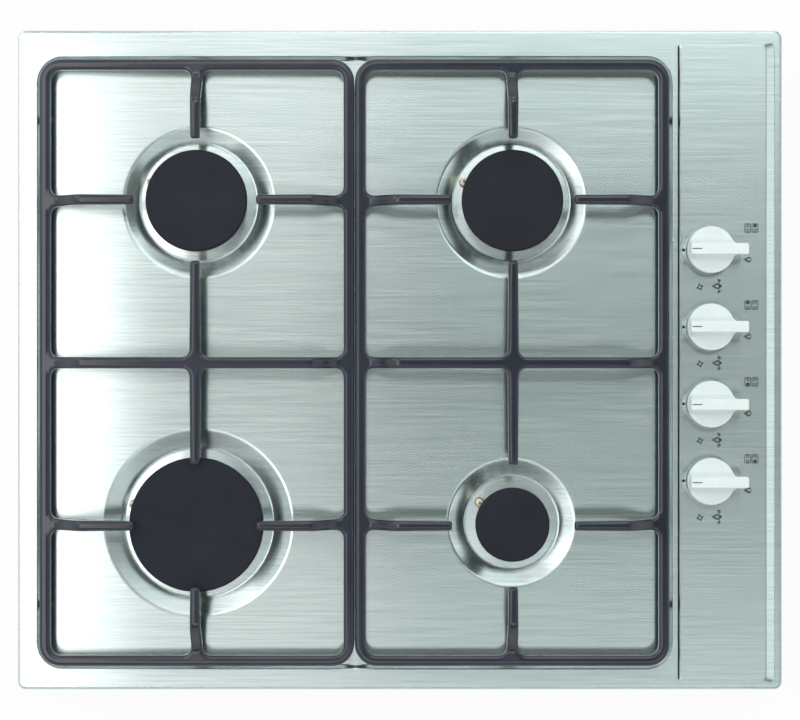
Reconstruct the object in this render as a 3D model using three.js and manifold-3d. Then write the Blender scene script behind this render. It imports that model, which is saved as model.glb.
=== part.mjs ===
// Built-in gas cooktop: a pressed stainless steel hob with four burners, two cast pan supports
// and a row of four control knobs on a raised panel along its right side.
// Millimetres. +Z is up, +X points to the control panel, +Y to the rear.
// Origin: the middle of the burner box's flat underside.

import * as THREE from 'three';
import { mergeVertices } from 'three/addons/utils/BufferGeometryUtils.js';
import Module from 'manifold-3d';

const wasm = await Module();
wasm.setup();

// ---------- Driving dimensions ----------

// Clearances
const seatGap = 0.3; // under a piece that rests on another
const runningGap = 0.3; // round a piece that turns, slides or is pushed into a socket
const overcut = 1; // how far a cutting tool passes the face it cuts

// Hob top, one pressed sheet
const hobWidth = 580;
const hobDepth = 500;
const hobCornerRadius = 6;
const hobSheet = 0.8;
const edgeHeight = 8;
const edgeChamfer = 1.6;
const returnFlangeWidth = 14;
const recessDepth = 3;
const recessSlope = 2;
const recessToLeft = 15;
const recessToRear = 20;
const recessToFront = 16;
const recessCornerRadius = 20;

// Raised control panel pressed into the same sheet
const panelRise = 1.5;
const panelWidth = 72.5;
const panelToEdge = 5.7;
const panelToRear = 9.15;
const panelToFront = 5.15;
const panelToRecess = 5.3;
const panelStep = 0.8;
const panelEndSlope = 2;
const panelBevelWidth = 6.8;
const panelCornerRadius = 4;

// Burner box and worktop seal
const boxDepth = 46;
const boxToSide = 22;
const boxToEnd = 26;
const boxSheet = 0.8;
const boxCornerRadius = 12;
const boxFoldRadius = 3;
const boxFlange = 5;
const sealThickness = 1.7;
const sealWidth = 11;
const sealInset = 1.5;
const ventLength = 26;
const ventWidth = 4;
const ventPitch = 14;
const ventCount = 5;

// Pan supports, cast
const supportMargin = 3.6;
const supportGap = 0.7;
const burnerToEnd = 106.65;
const supportCornerRadius = 16;
const barWidth = 8;
const barHeight = 9;
const barChamfer = 1.3;
const panHeight = 31;
const fingerHeight = 7;
const fingerRootWidth = 8.6;
const fingerTipWidth = 7.3;
const fingerTipRadius = 45.6;
const fingerRise = 22;
const rootFillet = 6;
const filletSteps = 3;
const riseSteps = 3;
const footHeight = 8;
const footRadius = 4;
const footWall = 1.4;
const footBase = 2.6;
const footFromCorner = 44;

// Burners: cap, dish pressed round it, flame ports and the angle of its spark electrode
const dishDepth = 4;
const dishRise = 1.5;
const burnerKinds = {
  rapid: { capRadius: 50.5, dishFlat: 6.3, dishSlope: 14.4, ports: 20 },
  semiRapid: { capRadius: 38.2, dishFlat: 6.6, dishSlope: 12.2, ports: 16 },
  auxiliary: { capRadius: 27.9, dishFlat: 7.9, dishSlope: 12.7, ports: 12 },
};
const capHeight = 20;
const capThickness = 5.4;
const capEdgeRadius = 2.2;
const capSpigotDepth = 2.4;
const capSpigotWall = 2;
const crownInset = 3;
const crownWall = 5;
const crownHeight = 15;
const crownBevel = 2.5;
const crownFloor = 3.75;
const venturiLip = 3.75;
const portWidth = 1.8;
const portDepth = 6;
const collarInset = 8.7;
const collarWall = 1.8;
const holeGap = 0.7;
const cupWall = 2.5;
const cupDepth = 29;
const cupFloorThickness = 10;
const cupFlange = 5.5;
const cupFlangeThickness = 3;
const injectorRadius = 4;
const injectorHeight = 4;
const venturiRadius = 9;
const venturiBore = 6.5;
const venturiGap = 2;
const skirtDepth = 7;

// Spark electrodes and their leads
const sparkOut = 1;
const ceramicRadius = 2.6;
const ceramicHeight = 9.5;
const ceramicLength = 24;
const sparkPinRadius = 0.9;
const sparkPinHeight = 3.4;
const leadRadius = 1.6;
const leadBend = 7;

// Gas pipes
const pipeRadius = 4;
const pipeBend = 28;
const socketWall = 2.7;
const socketDepth = 8;
const cupSocketLength = 12;

// Knobs, spindles and gas taps
const knobToPanelEdge = 49.5;
const knobRowForward = 2.15;
const knobPitch = 58.3;
const knobCount = 4;
const knobRadius = 17.7;
const knobDiscHeight = 6;
const knobWall = 2;
const knobEdgeChamfer = 1;
const knobHubRadius = 5.5;
const knobHubDepth = 1;
const gripHeight = 13;
const gripWidth = 8.2;
const gripRootWidth = 14.5;
const gripReach = 26;
const gripTipHeight = 9;
const pushTravel = 3;
const pushSpare = 0.5;
const spindleRadius = 3;
const spindleFlat = 1.6;
const spindleInKnob = 13;
const spindleInPlug = 1.5;
const panelHoleRadius = 6;
const tapRadius = 11;
const tapWall = 4;
const tapNeckRadius = 6;
const tapNeckHeight = 6;
const tapShoulder = 1.5;
const plugTopRadius = 7;
const plugBottomRadius = 5.6;
const plugHeight = 14;
const tapOutletLength = 22;
const saddleWidth = 26;
const saddleLength = 22;
const saddleDrop = 3;

// Gas rail and inlet
const railRadius = 8;
const railWall = 1.5;
const railLift = 6.5;
const railEndLength = 20;
const saddlePadLength = 14;
const inletRadius = 10.4;
const inletBore = 6.5;
const inletNutRadius = 11.5;
const inletNutLength = 12;
const inletStub = 15;

// Ignition and wiring
const stripWidth = 24;
const stripThickness = 3;
const stripEnd = 22;
const switchWidth = 10;
const switchHeight = 7;
const switchGap = 3;
const generatorWidth = 72;
const generatorLength = 46;
const generatorHeight = 15;
const generatorEar = 9;
const generatorEarThickness = 2.5;
const terminalRadius = 3;
const terminalLength = 6;
const glandFromInlet = 84.8;
const glandRadius = 8;
const glandBore = 4;
const glandFlangeRadius = 11;
const glandFlangeThickness = 3;
const glandHeight = 20;
const terminalBlockWidth = 38;
const terminalBlockLength = 22;
const terminalBlockHeight = 16;
const terminalSlotWidth = 8;
const terminalSlotDepth = 4;
const terminalSlots = 3;
const terminalBlockFromWall = 26;

// Worktop clamps
const clampFromSide = 98;
const clampFromGland = 65;
const clampWidth = 18;
const clampSheet = 1.5;
const clampLegHeight = 26;
const clampReach = 13;
const clampTooth = 10;
const clampLow = 4;
const clampScrewRadius = 1.7;
const clampScrewHeadRadius = 4;
const clampScrewHeadHeight = 2.5;
const clampScrewHeight = 20;
const clampScrewInside = 5;

// Facets round each circle
const capSides = 24;
const dishSides = 28;
const knobSides = 16;
const pipeSides = 8;
const smallSides = 6;
const tapSides = 10;
const cornerSteps = 3;
const bendSteps = 3;

// ---------- Levels and places that follow from them ----------

const worktopZ = boxDepth;
const flangeZ = worktopZ + sealThickness + seatGap;
const rimZ = flangeZ + edgeHeight;
const recessZ = rimZ - recessDepth;
const panelZ = rimZ + panelRise;
const dishZ = recessZ - dishDepth;
const boxFloorZ = boxSheet;
const boxTopZ = recessZ - hobSheet - seatGap;

const panelRightX = hobWidth / 2 - panelToEdge;
const panelLeftX = panelRightX - panelWidth;
const panelRearY = hobDepth / 2 - panelToRear;
const panelFrontY = panelToFront - hobDepth / 2;
const recessLeftX = recessToLeft - hobWidth / 2;
const recessRightX = panelLeftX - panelToRecess;
const recessRearY = hobDepth / 2 - recessToRear;
const recessFrontY = recessToFront - hobDepth / 2;
const recessWidth = recessRightX - recessLeftX;
const recessLength = recessRearY - recessFrontY;

const cookingCentreX = (recessLeftX + recessRightX) / 2;
const cookingCentreY = (recessFrontY + recessRearY) / 2;
const supportWidth = (recessWidth - 2 * supportMargin - supportGap) / 2;
const supportDepth = recessLength - 2 * supportMargin;
const columnPitch = supportWidth + supportGap;
const rowPitch = supportDepth - 2 * burnerToEnd;

const boxWidth = hobWidth - 2 * boxToSide;
const boxLength = hobDepth - 2 * boxToEnd;
const boxHalfY = boxLength / 2;
const knobX = panelRightX - knobToPanelEdge;
const knobCentreY = (panelFrontY + panelRearY) / 2 - knobRowForward;
const glandX = knobX - glandFromInlet;

const barLowZ = recessZ + footHeight;
const barTopZ = barLowZ + barHeight;
const panZ = recessZ + panHeight;

const capTopZ = recessZ + capHeight;
const crownTopZ = capTopZ - capThickness - seatGap;
const crownLowZ = crownTopZ - crownHeight;

const knobLowZ = panelZ + pushTravel + pushSpare;
const knobDiscZ = knobLowZ + knobDiscHeight;
const knobTopZ = knobDiscZ + gripHeight;

const railZ = boxFloorZ + railLift + railRadius;
const tapLowZ = railZ + railRadius + runningGap + tapWall / 2;
const chamberLowZ = tapLowZ + tapWall;
const chamberTopZ = chamberLowZ + plugHeight + 2 * runningGap;
const tapShoulderZ = chamberTopZ + tapShoulder;
const tapTopZ = tapShoulderZ + tapNeckHeight;
const plugLowZ = chamberLowZ + runningGap;
const plugTopZ = plugLowZ + plugHeight;
const spindleLowZ = plugTopZ - spindleInPlug;
const pipeZ = tapLowZ + tapWall + pipeRadius / 2;

const burners = [
  { name: 'rear_right', kind: 'semiRapid', column: 1, row: 1, sparkAngle: 157 },
  { name: 'rear_left', kind: 'semiRapid', column: -1, row: 1, sparkAngle: 157 },
  { name: 'front_left', kind: 'rapid', column: -1, row: -1, sparkAngle: 164 },
  { name: 'front_right', kind: 'auxiliary', column: 1, row: -1, sparkAngle: 147 },
].map(placeBurner);

function placeBurner(burner, order) {
  const kind = burnerKinds[burner.kind];
  const boreRadius = kind.capRadius - collarInset - collarWall;
  return {
    ...burner,
    ...kind,
    x: cookingCentreX + burner.column * columnPitch / 2,
    y: cookingCentreY + burner.row * rowPitch / 2,
    knobY: knobCentreY + (knobCount - 1) * knobPitch / 2 - order * knobPitch,
    dishInner: kind.capRadius + kind.dishFlat,
    dishOuter: kind.capRadius + kind.dishFlat + kind.dishSlope,
    boreRadius,
    collarRadius: boreRadius + collarWall,
    holeRadius: boreRadius + collarWall + holeGap,
    crownRadius: kind.capRadius - crownInset,
    sparkRadius: kind.capRadius + sparkOut,
  };
}

// Height of the sheet's upper face inside a burner's dish
function dishHeight(burner, radius) {
  const share = (burner.dishInner - radius) / (burner.dishInner - burner.holeRadius);
  return dishZ + dishRise * share;
}

// ---------- Shapes ----------

// A closed skin through a row of sections that have the same number of points
function loft(sections) {
  const count = sections[0].length;
  const index = [];
  for (let s = 0; s < sections.length - 1; s++) {
    for (let p = 0; p < count; p++) {
      const here = s * count + p;
      const next = s * count + (p + 1) % count;
      index.push(here, next, next + count, here, next + count, here + count);
    }
  }
  const last = (sections.length - 1) * count;
  for (let p = 1; p < count - 1; p++) {
    index.push(0, p + 1, p, last, last + p, last + p + 1);
  }
  const geometry = new THREE.BufferGeometry().setFromPoints(sections.flat());
  geometry.setIndex(index);
  return geometry;
}

// A rounded rectangle between two corners, at one height
function roundedOutline(low, high, radius, z) {
  const points = [];
  const corners = [
    [high.x - radius, high.y - radius, 0],
    [low.x + radius, high.y - radius, 1],
    [low.x + radius, low.y + radius, 2],
    [high.x - radius, low.y + radius, 3],
  ];
  for (const [x, y, quarter] of corners) {
    for (let step = 0; step <= cornerSteps; step++) {
      const angle = (quarter + step / cornerSteps) * Math.PI / 2;
      points.push(new THREE.Vector3(x + radius * Math.cos(angle), y + radius * Math.sin(angle), z));
    }
  }
  return points;
}

// A rounded rectangle about a centre, drawn in by an inset
function centredOutline(centre, width, depth, radius, inset, z) {
  const half = new THREE.Vector2(width / 2 - inset, depth / 2 - inset);
  return roundedOutline(centre.clone().sub(half), centre.clone().add(half), Math.max(radius - inset, 0.5), z);
}

// A profile of [radius, height] pairs turned about the vertical axis
function revolve(profile, sides) {
  const points = profile.map(([radius, z]) => new THREE.Vector2(radius, z));
  return new THREE.LatheGeometry(points, sides).rotateX(Math.PI / 2);
}

function rod(radius, low, high, sides) {
  return revolve([[0, low], [radius, low], [radius, high], [0, high]], sides);
}

// The corner radius of a many-sided bore whose flats stand at the stated radius
function flatsAt(radius, sides) {
  return radius / Math.cos(Math.PI / sides);
}

// How far the flats of a many-sided bore stand from its axis
function flatOf(cornerRadius, sides) {
  return cornerRadius * Math.cos(Math.PI / sides);
}

function block(low, high) {
  const size = high.map((value, axis) => value - low[axis]);
  const middle = high.map((value, axis) => (value + low[axis]) / 2);
  return new THREE.BoxGeometry(...size).translate(...middle);
}

// A round bar along straight runs joined by bends
function bentRod(corners, radius, bend, sides) {
  const spine = [corners[0]];
  for (let c = 1; c < corners.length - 1; c++) {
    const corner = corners[c];
    const back = corners[c - 1].clone().sub(corner).setLength(bend).add(corner);
    const ahead = corners[c + 1].clone().sub(corner).setLength(bend).add(corner);
    spine.push(...new THREE.QuadraticBezierCurve3(back, corner, ahead).getPoints(bendSteps));
  }
  spine.push(corners[corners.length - 1]);
  const tangents = spine.map((point, i) => {
    const before = spine[Math.max(i - 1, 0)];
    const after = spine[Math.min(i + 1, spine.length - 1)];
    return after.clone().sub(before).normalize();
  });
  const start = Math.abs(tangents[0].z) < 0.5 ? new THREE.Vector3(0, 0, 1) : new THREE.Vector3(1, 0, 0);
  const side = start.cross(tangents[0]).normalize();
  const sections = spine.map((point, i) => {
    if (i > 0) {
      side.applyQuaternion(new THREE.Quaternion().setFromUnitVectors(tangents[i - 1], tangents[i]));
    }
    const up = tangents[i].clone().cross(side);
    return Array.from({ length: sides }, (_, k) => {
      const angle = (k + 0.5) * 2 * Math.PI / sides;
      const across = side.clone().multiplyScalar(radius * Math.cos(angle));
      return point.clone().add(across).addScaledVector(up, radius * Math.sin(angle));
    });
  });
  return loft(sections);
}

// ---------- Solids: joined and cut ----------

function signedVolume(positions, triangles) {
  const corner = (i) => new THREE.Vector3().fromArray(positions, 3 * i);
  let volume = 0;
  for (let t = 0; t < triangles.length; t += 3) {
    const [a, b, c] = [corner(triangles[t]), corner(triangles[t + 1]), corner(triangles[t + 2])];
    volume += a.dot(b.cross(c)) / 6;
  }
  return volume;
}

function solid(geometry) {
  const bare = geometry.clone();
  bare.deleteAttribute('normal');
  bare.deleteAttribute('uv');
  const merged = mergeVertices(bare);
  const all = Array.from(merged.index.array);
  const kept = [];
  for (let t = 0; t < all.length; t += 3) {
    const [a, b, c] = all.slice(t, t + 3);
    if (a !== b && b !== c && c !== a) {
      kept.push(a, b, c);
    }
  }
  const vertProperties = new Float32Array(merged.attributes.position.array);
  if (signedVolume(vertProperties, kept) < 0) {
    kept.reverse();
  }
  return new wasm.Manifold(new wasm.Mesh({ numProp: 3, vertProperties, triVerts: new Uint32Array(kept) }));
}

function join(...geometries) {
  return geometries.map(asSolid).reduce((whole, part) => whole.add(part));
}

function cut(body, ...tools) {
  return tools.map(asSolid).reduce((whole, tool) => whole.subtract(tool), asSolid(body));
}

function asSolid(shape) {
  return shape instanceof THREE.BufferGeometry ? solid(shape) : shape;
}

function piece(name, shape, material, x = 0, y = 0) {
  const { numProp, vertProperties, triVerts } = asSolid(shape).getMesh();
  const geometry = new THREE.BufferGeometry();
  const positions = new Float32Array(vertProperties.length / numProp * 3);
  for (let v = 0; v < positions.length / 3; v++) {
    positions.set(vertProperties.subarray(v * numProp, v * numProp + 3), 3 * v);
  }
  geometry.setAttribute('position', new THREE.BufferAttribute(positions, 3));
  geometry.setIndex(new THREE.BufferAttribute(new Uint32Array(triVerts), 1));
  geometry.computeVertexNormals();
  const mesh = new THREE.Mesh(geometry, material);
  mesh.name = name;
  mesh.position.set(x, y, 0);
  return mesh;
}

// ---------- Materials ----------

function material(color, roughness, metalness) {
  return new THREE.MeshStandardMaterial({ color, roughness, metalness });
}

const brushedSteel = material(0xc3cccb, 0.35, 1);
const galvanisedSteel = material(0xa9aeb0, 0.45, 1);
const blackEnamel = material(0x2a2e35, 0.45, 0);
const castAluminium = material(0xa6a9ab, 0.5, 1);
const brass = material(0xb98f4c, 0.35, 1);
const rubber = material(0x1b1b1c, 0.85, 0);
const knobPlastic = material(0xe4ecec, 0.4, 0);
const ceramic = material(0xe9e0cc, 0.4, 0);
const darkPlastic = material(0x2b2c2e, 0.6, 0);
const palePlastic = material(0xd8d8d2, 0.6, 0);
const foam = material(0x4a4b4d, 0.9, 0);

// ---------- Hob top ----------

const hobCentre = new THREE.Vector2(0, 0);
const recessCentre = new THREE.Vector2(cookingCentreX, cookingCentreY);

function hobOutline(inset, z) {
  return centredOutline(hobCentre, hobWidth, hobDepth, hobCornerRadius, inset, z);
}

function recessOutline(inset, z) {
  return centredOutline(recessCentre, recessWidth, recessLength, recessCornerRadius, inset, z);
}

function panelOutline(leftInset, rightInset, endInset, z) {
  const low = new THREE.Vector2(panelLeftX + leftInset, panelFrontY + endInset);
  const high = new THREE.Vector2(panelRightX - rightInset, panelRearY - endInset);
  return roundedOutline(low, high, panelCornerRadius, z);
}

function dishCut(burner) {
  const profile = [
    [0, dishHeight(burner, burner.holeRadius)],
    [burner.holeRadius, dishHeight(burner, burner.holeRadius)],
    [burner.dishInner, dishZ],
    [burner.dishOuter, recessZ],
    [burner.dishOuter, recessZ + overcut],
    [0, recessZ + overcut],
  ];
  return revolve(profile, dishSides).translate(burner.x, burner.y, 0);
}

// Everything under the pressed upper face, lowered by one sheet for the underside
function underFace(slab, drop) {
  const panel = loft([
    panelOutline(0, 0, 0, rimZ - drop - hobSheet),
    panelOutline(0, 0, 0, rimZ - drop),
    panelOutline(panelStep, panelBevelWidth, panelEndSlope, panelZ - drop),
  ]);
  const recess = loft([
    recessOutline(recessSlope, recessZ - drop),
    recessOutline(0, rimZ - drop),
    recessOutline(0, rimZ + overcut),
  ]);
  const dishes = burners.map((burner) => dishCut(burner).translate(0, 0, -drop));
  return cut(join(slab, panel), recess, ...dishes);
}

function makeHobTop() {
  const lowZ = Math.min(dishZ, flangeZ) - 2 * overcut;
  const outer = loft([
    hobOutline(0, lowZ),
    hobOutline(0, rimZ - edgeChamfer),
    hobOutline(edgeChamfer, rimZ),
  ]);
  const throat = loft([
    hobOutline(returnFlangeWidth, lowZ - overcut),
    hobOutline(returnFlangeWidth, rimZ - hobSheet),
  ]);
  const hollow = loft([
    hobOutline(hobSheet, flangeZ + hobSheet),
    hobOutline(hobSheet, rimZ - edgeChamfer - hobSheet / 2),
    hobOutline(edgeChamfer + hobSheet / 2, rimZ - hobSheet),
  ]);
  const belowFlange = cut(
    loft([hobOutline(-overcut, lowZ - overcut), hobOutline(-overcut, flangeZ)]),
    loft([
      hobOutline(returnFlangeWidth + overcut, lowZ - 2 * overcut),
      hobOutline(returnFlangeWidth + overcut, flangeZ + overcut),
    ]),
  );
  const sheet = cut(underFace(outer, 0), underFace(join(throat, hollow), hobSheet), belowFlange);
  const holes = burners.flatMap((burner) => {
    const burnerHole = rod(burner.holeRadius, lowZ, rimZ, dishSides).translate(burner.x, burner.y, 0);
    const spark = sparkPlace(burner);
    const sparkHole = rod(flatsAt(ceramicRadius + runningGap, smallSides), lowZ, rimZ, smallSides);
    const spindleHole = rod(panelHoleRadius, rimZ - 2 * hobSheet, panelZ + overcut, tapSides);
    return [
      burnerHole,
      sparkHole.translate(burner.x + spark.x, burner.y + spark.y, 0),
      spindleHole.translate(knobX, burner.knobY, 0),
    ];
  });
  return piece('hob_top', cut(sheet, ...holes), brushedSteel);
}

// ---------- Burner box, seal and clamps ----------

function boxOutline(inset, z) {
  return centredOutline(hobCentre, boxWidth, boxLength, boxCornerRadius, inset, z);
}

function ventSlot(x, y) {
  return block(
    [x - ventWidth / 2, y - ventLength / 2, -overcut],
    [x + ventWidth / 2, y + ventLength / 2, boxFloorZ + overcut],
  );
}

function makeBurnerBox() {
  const shell = loft([
    boxOutline(boxFoldRadius, 0),
    boxOutline(0, boxFoldRadius),
    boxOutline(0, boxTopZ),
  ]);
  const flange = loft([
    boxOutline(-boxFlange, boxTopZ - boxSheet),
    boxOutline(-boxFlange, boxTopZ),
  ]);
  const hollow = loft([
    boxOutline(boxFoldRadius + boxSheet / 2, boxFloorZ),
    boxOutline(boxSheet, boxFoldRadius + boxSheet / 2),
    boxOutline(boxSheet, boxTopZ + overcut),
  ]);
  const padTop = boxFloorZ + railLift - seatGap;
  const pads = [1, -1].map((end) => {
    const y = knobCentreY + end * knobPitch;
    return block(
      [knobX - railRadius / 2, y - saddlePadLength / 2, boxFloorZ / 2],
      [knobX + railRadius / 2, y + saddlePadLength / 2, padTop],
    );
  });
  const vents = burners.flatMap((burner) => Array.from({ length: ventCount }, (_, i) => (
    ventSlot(burner.x + (i - (ventCount - 1) / 2) * ventPitch, burner.y)
  )));
  const wallHole = (radius, x, z) => (
    rod(radius, -boxFoldRadius, boxFoldRadius, tapSides).rotateX(Math.PI / 2).translate(x, boxHalfY, z)
  );
  const clampHoles = clampPlaces.map(({ x, side }) => (
    rod(flatsAt(clampScrewRadius + runningGap, smallSides), -boxFoldRadius, boxFoldRadius, smallSides)
      .rotateX(Math.PI / 2).translate(x, side * boxHalfY, clampScrewHeight)
  ));
  const opened = cut(
    join(shell, flange),
    hollow,
    wallHole(flatsAt(inletRadius + runningGap, tapSides), knobX, railZ),
    wallHole(flatsAt(glandRadius + runningGap, tapSides), glandX, glandHeight),
    ...clampHoles,
    ...vents,
  );
  return piece('burner_box', join(opened, ...pads), galvanisedSteel);
}

function makeRimSeal() {
  const ring = cut(
    loft([hobOutline(sealInset, worktopZ), hobOutline(sealInset, worktopZ + sealThickness)]),
    loft([
      hobOutline(sealInset + sealWidth, worktopZ - overcut),
      hobOutline(sealInset + sealWidth, worktopZ + sealThickness + overcut),
    ]),
  );
  return piece('rim_seal', ring, foam);
}

const clampPlaces = [
  { name: 'rear_left', x: clampFromSide - boxWidth / 2, side: 1 },
  { name: 'rear_right', x: glandX - clampFromGland, side: 1 },
  { name: 'front_left', x: clampFromSide - boxWidth / 2, side: -1 },
  { name: 'front_right', x: boxWidth / 2 - clampFromSide, side: -1 },
];

// A bent strip on the box wall whose upturned tooth bears on the worktop's underside
function makeClamp({ name, x, side }) {
  const strip = new THREE.Shape([
    new THREE.Vector2(seatGap, clampLow + clampLegHeight),
    new THREE.Vector2(seatGap, clampLow),
    new THREE.Vector2(clampReach, clampLow),
    new THREE.Vector2(clampReach, clampLow + clampTooth),
    new THREE.Vector2(clampReach - clampSheet, clampLow + clampTooth),
    new THREE.Vector2(clampReach - clampSheet, clampLow + clampSheet),
    new THREE.Vector2(seatGap + clampSheet, clampLow + clampSheet),
    new THREE.Vector2(seatGap + clampSheet, clampLow + clampLegHeight),
  ]);
  const bent = new THREE.ExtrudeGeometry(strip, { depth: clampWidth, bevelEnabled: false });
  bent.translate(0, 0, -clampWidth / 2);
  const headLow = seatGap + clampSheet / 2;
  const screw = revolve([
    [0, -clampScrewInside],
    [clampScrewRadius, -clampScrewInside],
    [clampScrewRadius, headLow],
    [clampScrewHeadRadius, headLow],
    [clampScrewHeadRadius, headLow + clampScrewHeadHeight],
    [0, headLow + clampScrewHeadHeight],
  ], smallSides).rotateY(Math.PI / 2).translate(0, clampScrewHeight, 0);
  const clamp = piece(`worktop_clamp_${name}`, join(bent, screw), galvanisedSteel, x, side * boxHalfY);
  clamp.rotation.set(Math.PI / 2, 0, side * Math.PI / 2, 'ZYX');
  return clamp;
}

// ---------- Pan supports ----------

// A cast bar from `start`, running along `direction`, through stations of distance, width and levels
function castBar(start, direction, stations) {
  const across = new THREE.Vector3(-direction.y, direction.x, 0);
  return loft(stations.map(({ distance, width, low, top }) => {
    const half = width / 2;
    const shoulder = half - barChamfer;
    const outline = [
      [-half, low], [half, low], [half, top - barChamfer],
      [shoulder, top], [-shoulder, top], [-half, top - barChamfer],
    ];
    return outline.map(([offset, z]) => (
      new THREE.Vector3(start.x, start.y, z)
        .addScaledVector(direction, distance)
        .addScaledVector(across, offset)
    ));
  }));
}

// Extra half width of the fillet where a finger leaves the bar that carries it
function filletWidth(distance) {
  const left = rootFillet - distance;
  return left > 0 ? rootFillet - Math.sqrt(rootFillet ** 2 - left ** 2) : 0;
}

function easeInOut(share) {
  const held = THREE.MathUtils.clamp(share, 0, 1);
  return held * held * (3 - 2 * held);
}

const fingerLowZ = panZ - fingerHeight;

// Distances from the root: close together where the fillet curves most, even along the rise
const filletStations = Array.from({ length: filletSteps + 1 }, (_, i) => (
  rootFillet * (i / filletSteps) ** 1.5
));
const riseStations = Array.from({ length: riseSteps }, (_, i) => (
  rootFillet + fingerRise * (i + 1) / riseSteps
));

// Levels of a finger that climbs from the frame to pan height
function climbingLevels(distance) {
  const top = easeInOut((distance - rootFillet / 2) / fingerRise);
  const low = easeInOut((distance - rootFillet) / fingerRise);
  return {
    top: THREE.MathUtils.lerp(barTopZ, panZ, top),
    low: THREE.MathUtils.lerp(barLowZ, fingerLowZ, low),
  };
}

function levelFinger() {
  return { top: panZ, low: fingerLowZ };
}

// One finger from the bar's centre line to its free tip
function fingerStations(length, levels, climbs) {
  const half = barWidth / 2;
  const distances = climbs ? [...filletStations, ...riseStations] : filletStations;
  const widthAt = (distance) => (
    THREE.MathUtils.lerp(fingerRootWidth, fingerTipWidth, distance / length) + 2 * filletWidth(distance)
  );
  const body = distances.map((distance) => ({
    distance: distance + half, width: widthAt(distance), ...levels(distance),
  }));
  const root = { distance: 0, width: fingerRootWidth, ...levels(0) };
  const end = levels(length);
  const neck = { distance: length - barChamfer, width: fingerTipWidth, ...end };
  const tip = {
    distance: length,
    width: fingerTipWidth - barChamfer,
    low: end.low,
    top: end.top - barChamfer,
  };
  return [root, ...body, neck, tip];
}

// A bar that climbs from the frame at both ends
function crossBarStations(length) {
  const half = fingerStations(length / 2 + barWidth, climbingLevels, true).slice(0, -2);
  const mirrored = half.map((station) => ({ ...station, distance: length - station.distance })).reverse();
  return [...half, ...mirrored].map((station) => ({
    ...station,
    width: Math.max(station.width, fingerRootWidth),
  }));
}

function frameRing(centre) {
  const outline = (inset, z) => (
    centredOutline(centre, supportWidth, supportDepth, supportCornerRadius, inset, z)
  );
  const outer = loft([
    outline(0, barLowZ),
    outline(0, barTopZ - barChamfer),
    outline(barChamfer, barTopZ),
  ]);
  const window = loft([
    outline(barWidth, barLowZ - overcut),
    outline(barWidth, barTopZ - barChamfer),
    outline(barWidth - barChamfer, barTopZ),
    outline(barWidth - barChamfer, barTopZ + overcut),
  ]);
  return cut(outer, window);
}

function footPlaces(centre) {
  const x = supportWidth / 2 - barWidth / 2;
  const y = supportDepth / 2 - footFromCorner;
  return [[-x, y], [x, y], [-x, -y], [x, -y]].map(([dx, dy]) => (
    new THREE.Vector2(centre.x + dx, centre.y + dy)
  ));
}

function makePanSupport(name, column) {
  const centre = new THREE.Vector2(cookingCentreX + column * columnPitch / 2, cookingCentreY);
  const toLeft = new THREE.Vector3(-1, 0, 0);
  const toRight = new THREE.Vector3(1, 0, 0);
  const toRear = new THREE.Vector3(0, 1, 0);
  const toFront = new THREE.Vector3(0, -1, 0);
  const spanX = (supportWidth - barWidth) / 2;
  const spanY = (supportDepth - barWidth) / 2;
  const sideLength = spanX - fingerTipRadius;
  const endLength = spanY - rowPitch / 2 - fingerTipRadius;
  const innerLength = rowPitch / 2 - fingerTipRadius;
  const fingers = [1, -1].flatMap((row) => {
    const burnerY = centre.y + row * rowPitch / 2;
    const inward = row > 0 ? toFront : toRear;
    const outward = row > 0 ? toRear : toFront;
    const climbing = (length) => fingerStations(length, climbingLevels, true);
    return [
      castBar({ x: centre.x - spanX, y: burnerY }, toRight, climbing(sideLength)),
      castBar({ x: centre.x + spanX, y: burnerY }, toLeft, climbing(sideLength)),
      castBar({ x: centre.x, y: centre.y + row * spanY }, inward, climbing(endLength)),
      castBar({ x: centre.x, y: centre.y }, outward, fingerStations(innerLength, levelFinger, false)),
    ];
  });
  const crossBar = castBar({ x: centre.x - spanX, y: centre.y }, toRight, crossBarStations(2 * spanX));
  const studs = footPlaces(centre).map((place) => (
    rod(footRadius - footWall, recessZ + seatGap + footBase + seatGap, barLowZ + overcut, smallSides)
      .translate(place.x, place.y, 0)
  ));
  const casting = join(frameRing(centre), crossBar, ...fingers, ...studs);
  const feet = footPlaces(centre).map((place, i) => makeFoot(`support_foot_${name}_${i + 1}`, place));
  return [piece(`pan_support_${name}`, casting, blackEnamel), ...feet];
}

// A rubber cup pushed over a stud under the frame
function makeFoot(name, place) {
  const low = recessZ + seatGap;
  const high = barLowZ - seatGap;
  const bore = footRadius - footWall + runningGap;
  const profile = [
    [0, low], [footRadius, low], [footRadius, high], [bore, high], [bore, low + footBase], [0, low + footBase],
  ];
  return piece(name, revolve(profile, smallSides), rubber, place.x, place.y);
}

// ---------- Burners ----------

function sparkPlace(burner) {
  const angle = THREE.MathUtils.degToRad(burner.sparkAngle);
  return new THREE.Vector2(burner.sparkRadius * Math.cos(angle), burner.sparkRadius * Math.sin(angle));
}

function makeCap(burner) {
  const low = capTopZ - capThickness;
  const spigot = flatOf(burner.crownRadius - crownWall, burner.ports) - runningGap;
  const edge = burner.capRadius;
  const profile = [
    [0, low],
    [spigot - capSpigotWall, low],
    [spigot - capSpigotWall, low - capSpigotDepth],
    [spigot, low - capSpigotDepth],
    [spigot, low],
    [edge, low],
    [edge, capTopZ - capEdgeRadius],
    [edge - capEdgeRadius, capTopZ],
    [0, capTopZ],
  ];
  return piece(`burner_cap_${burner.name}`, revolve(profile, capSides), blackEnamel, burner.x, burner.y);
}

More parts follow.
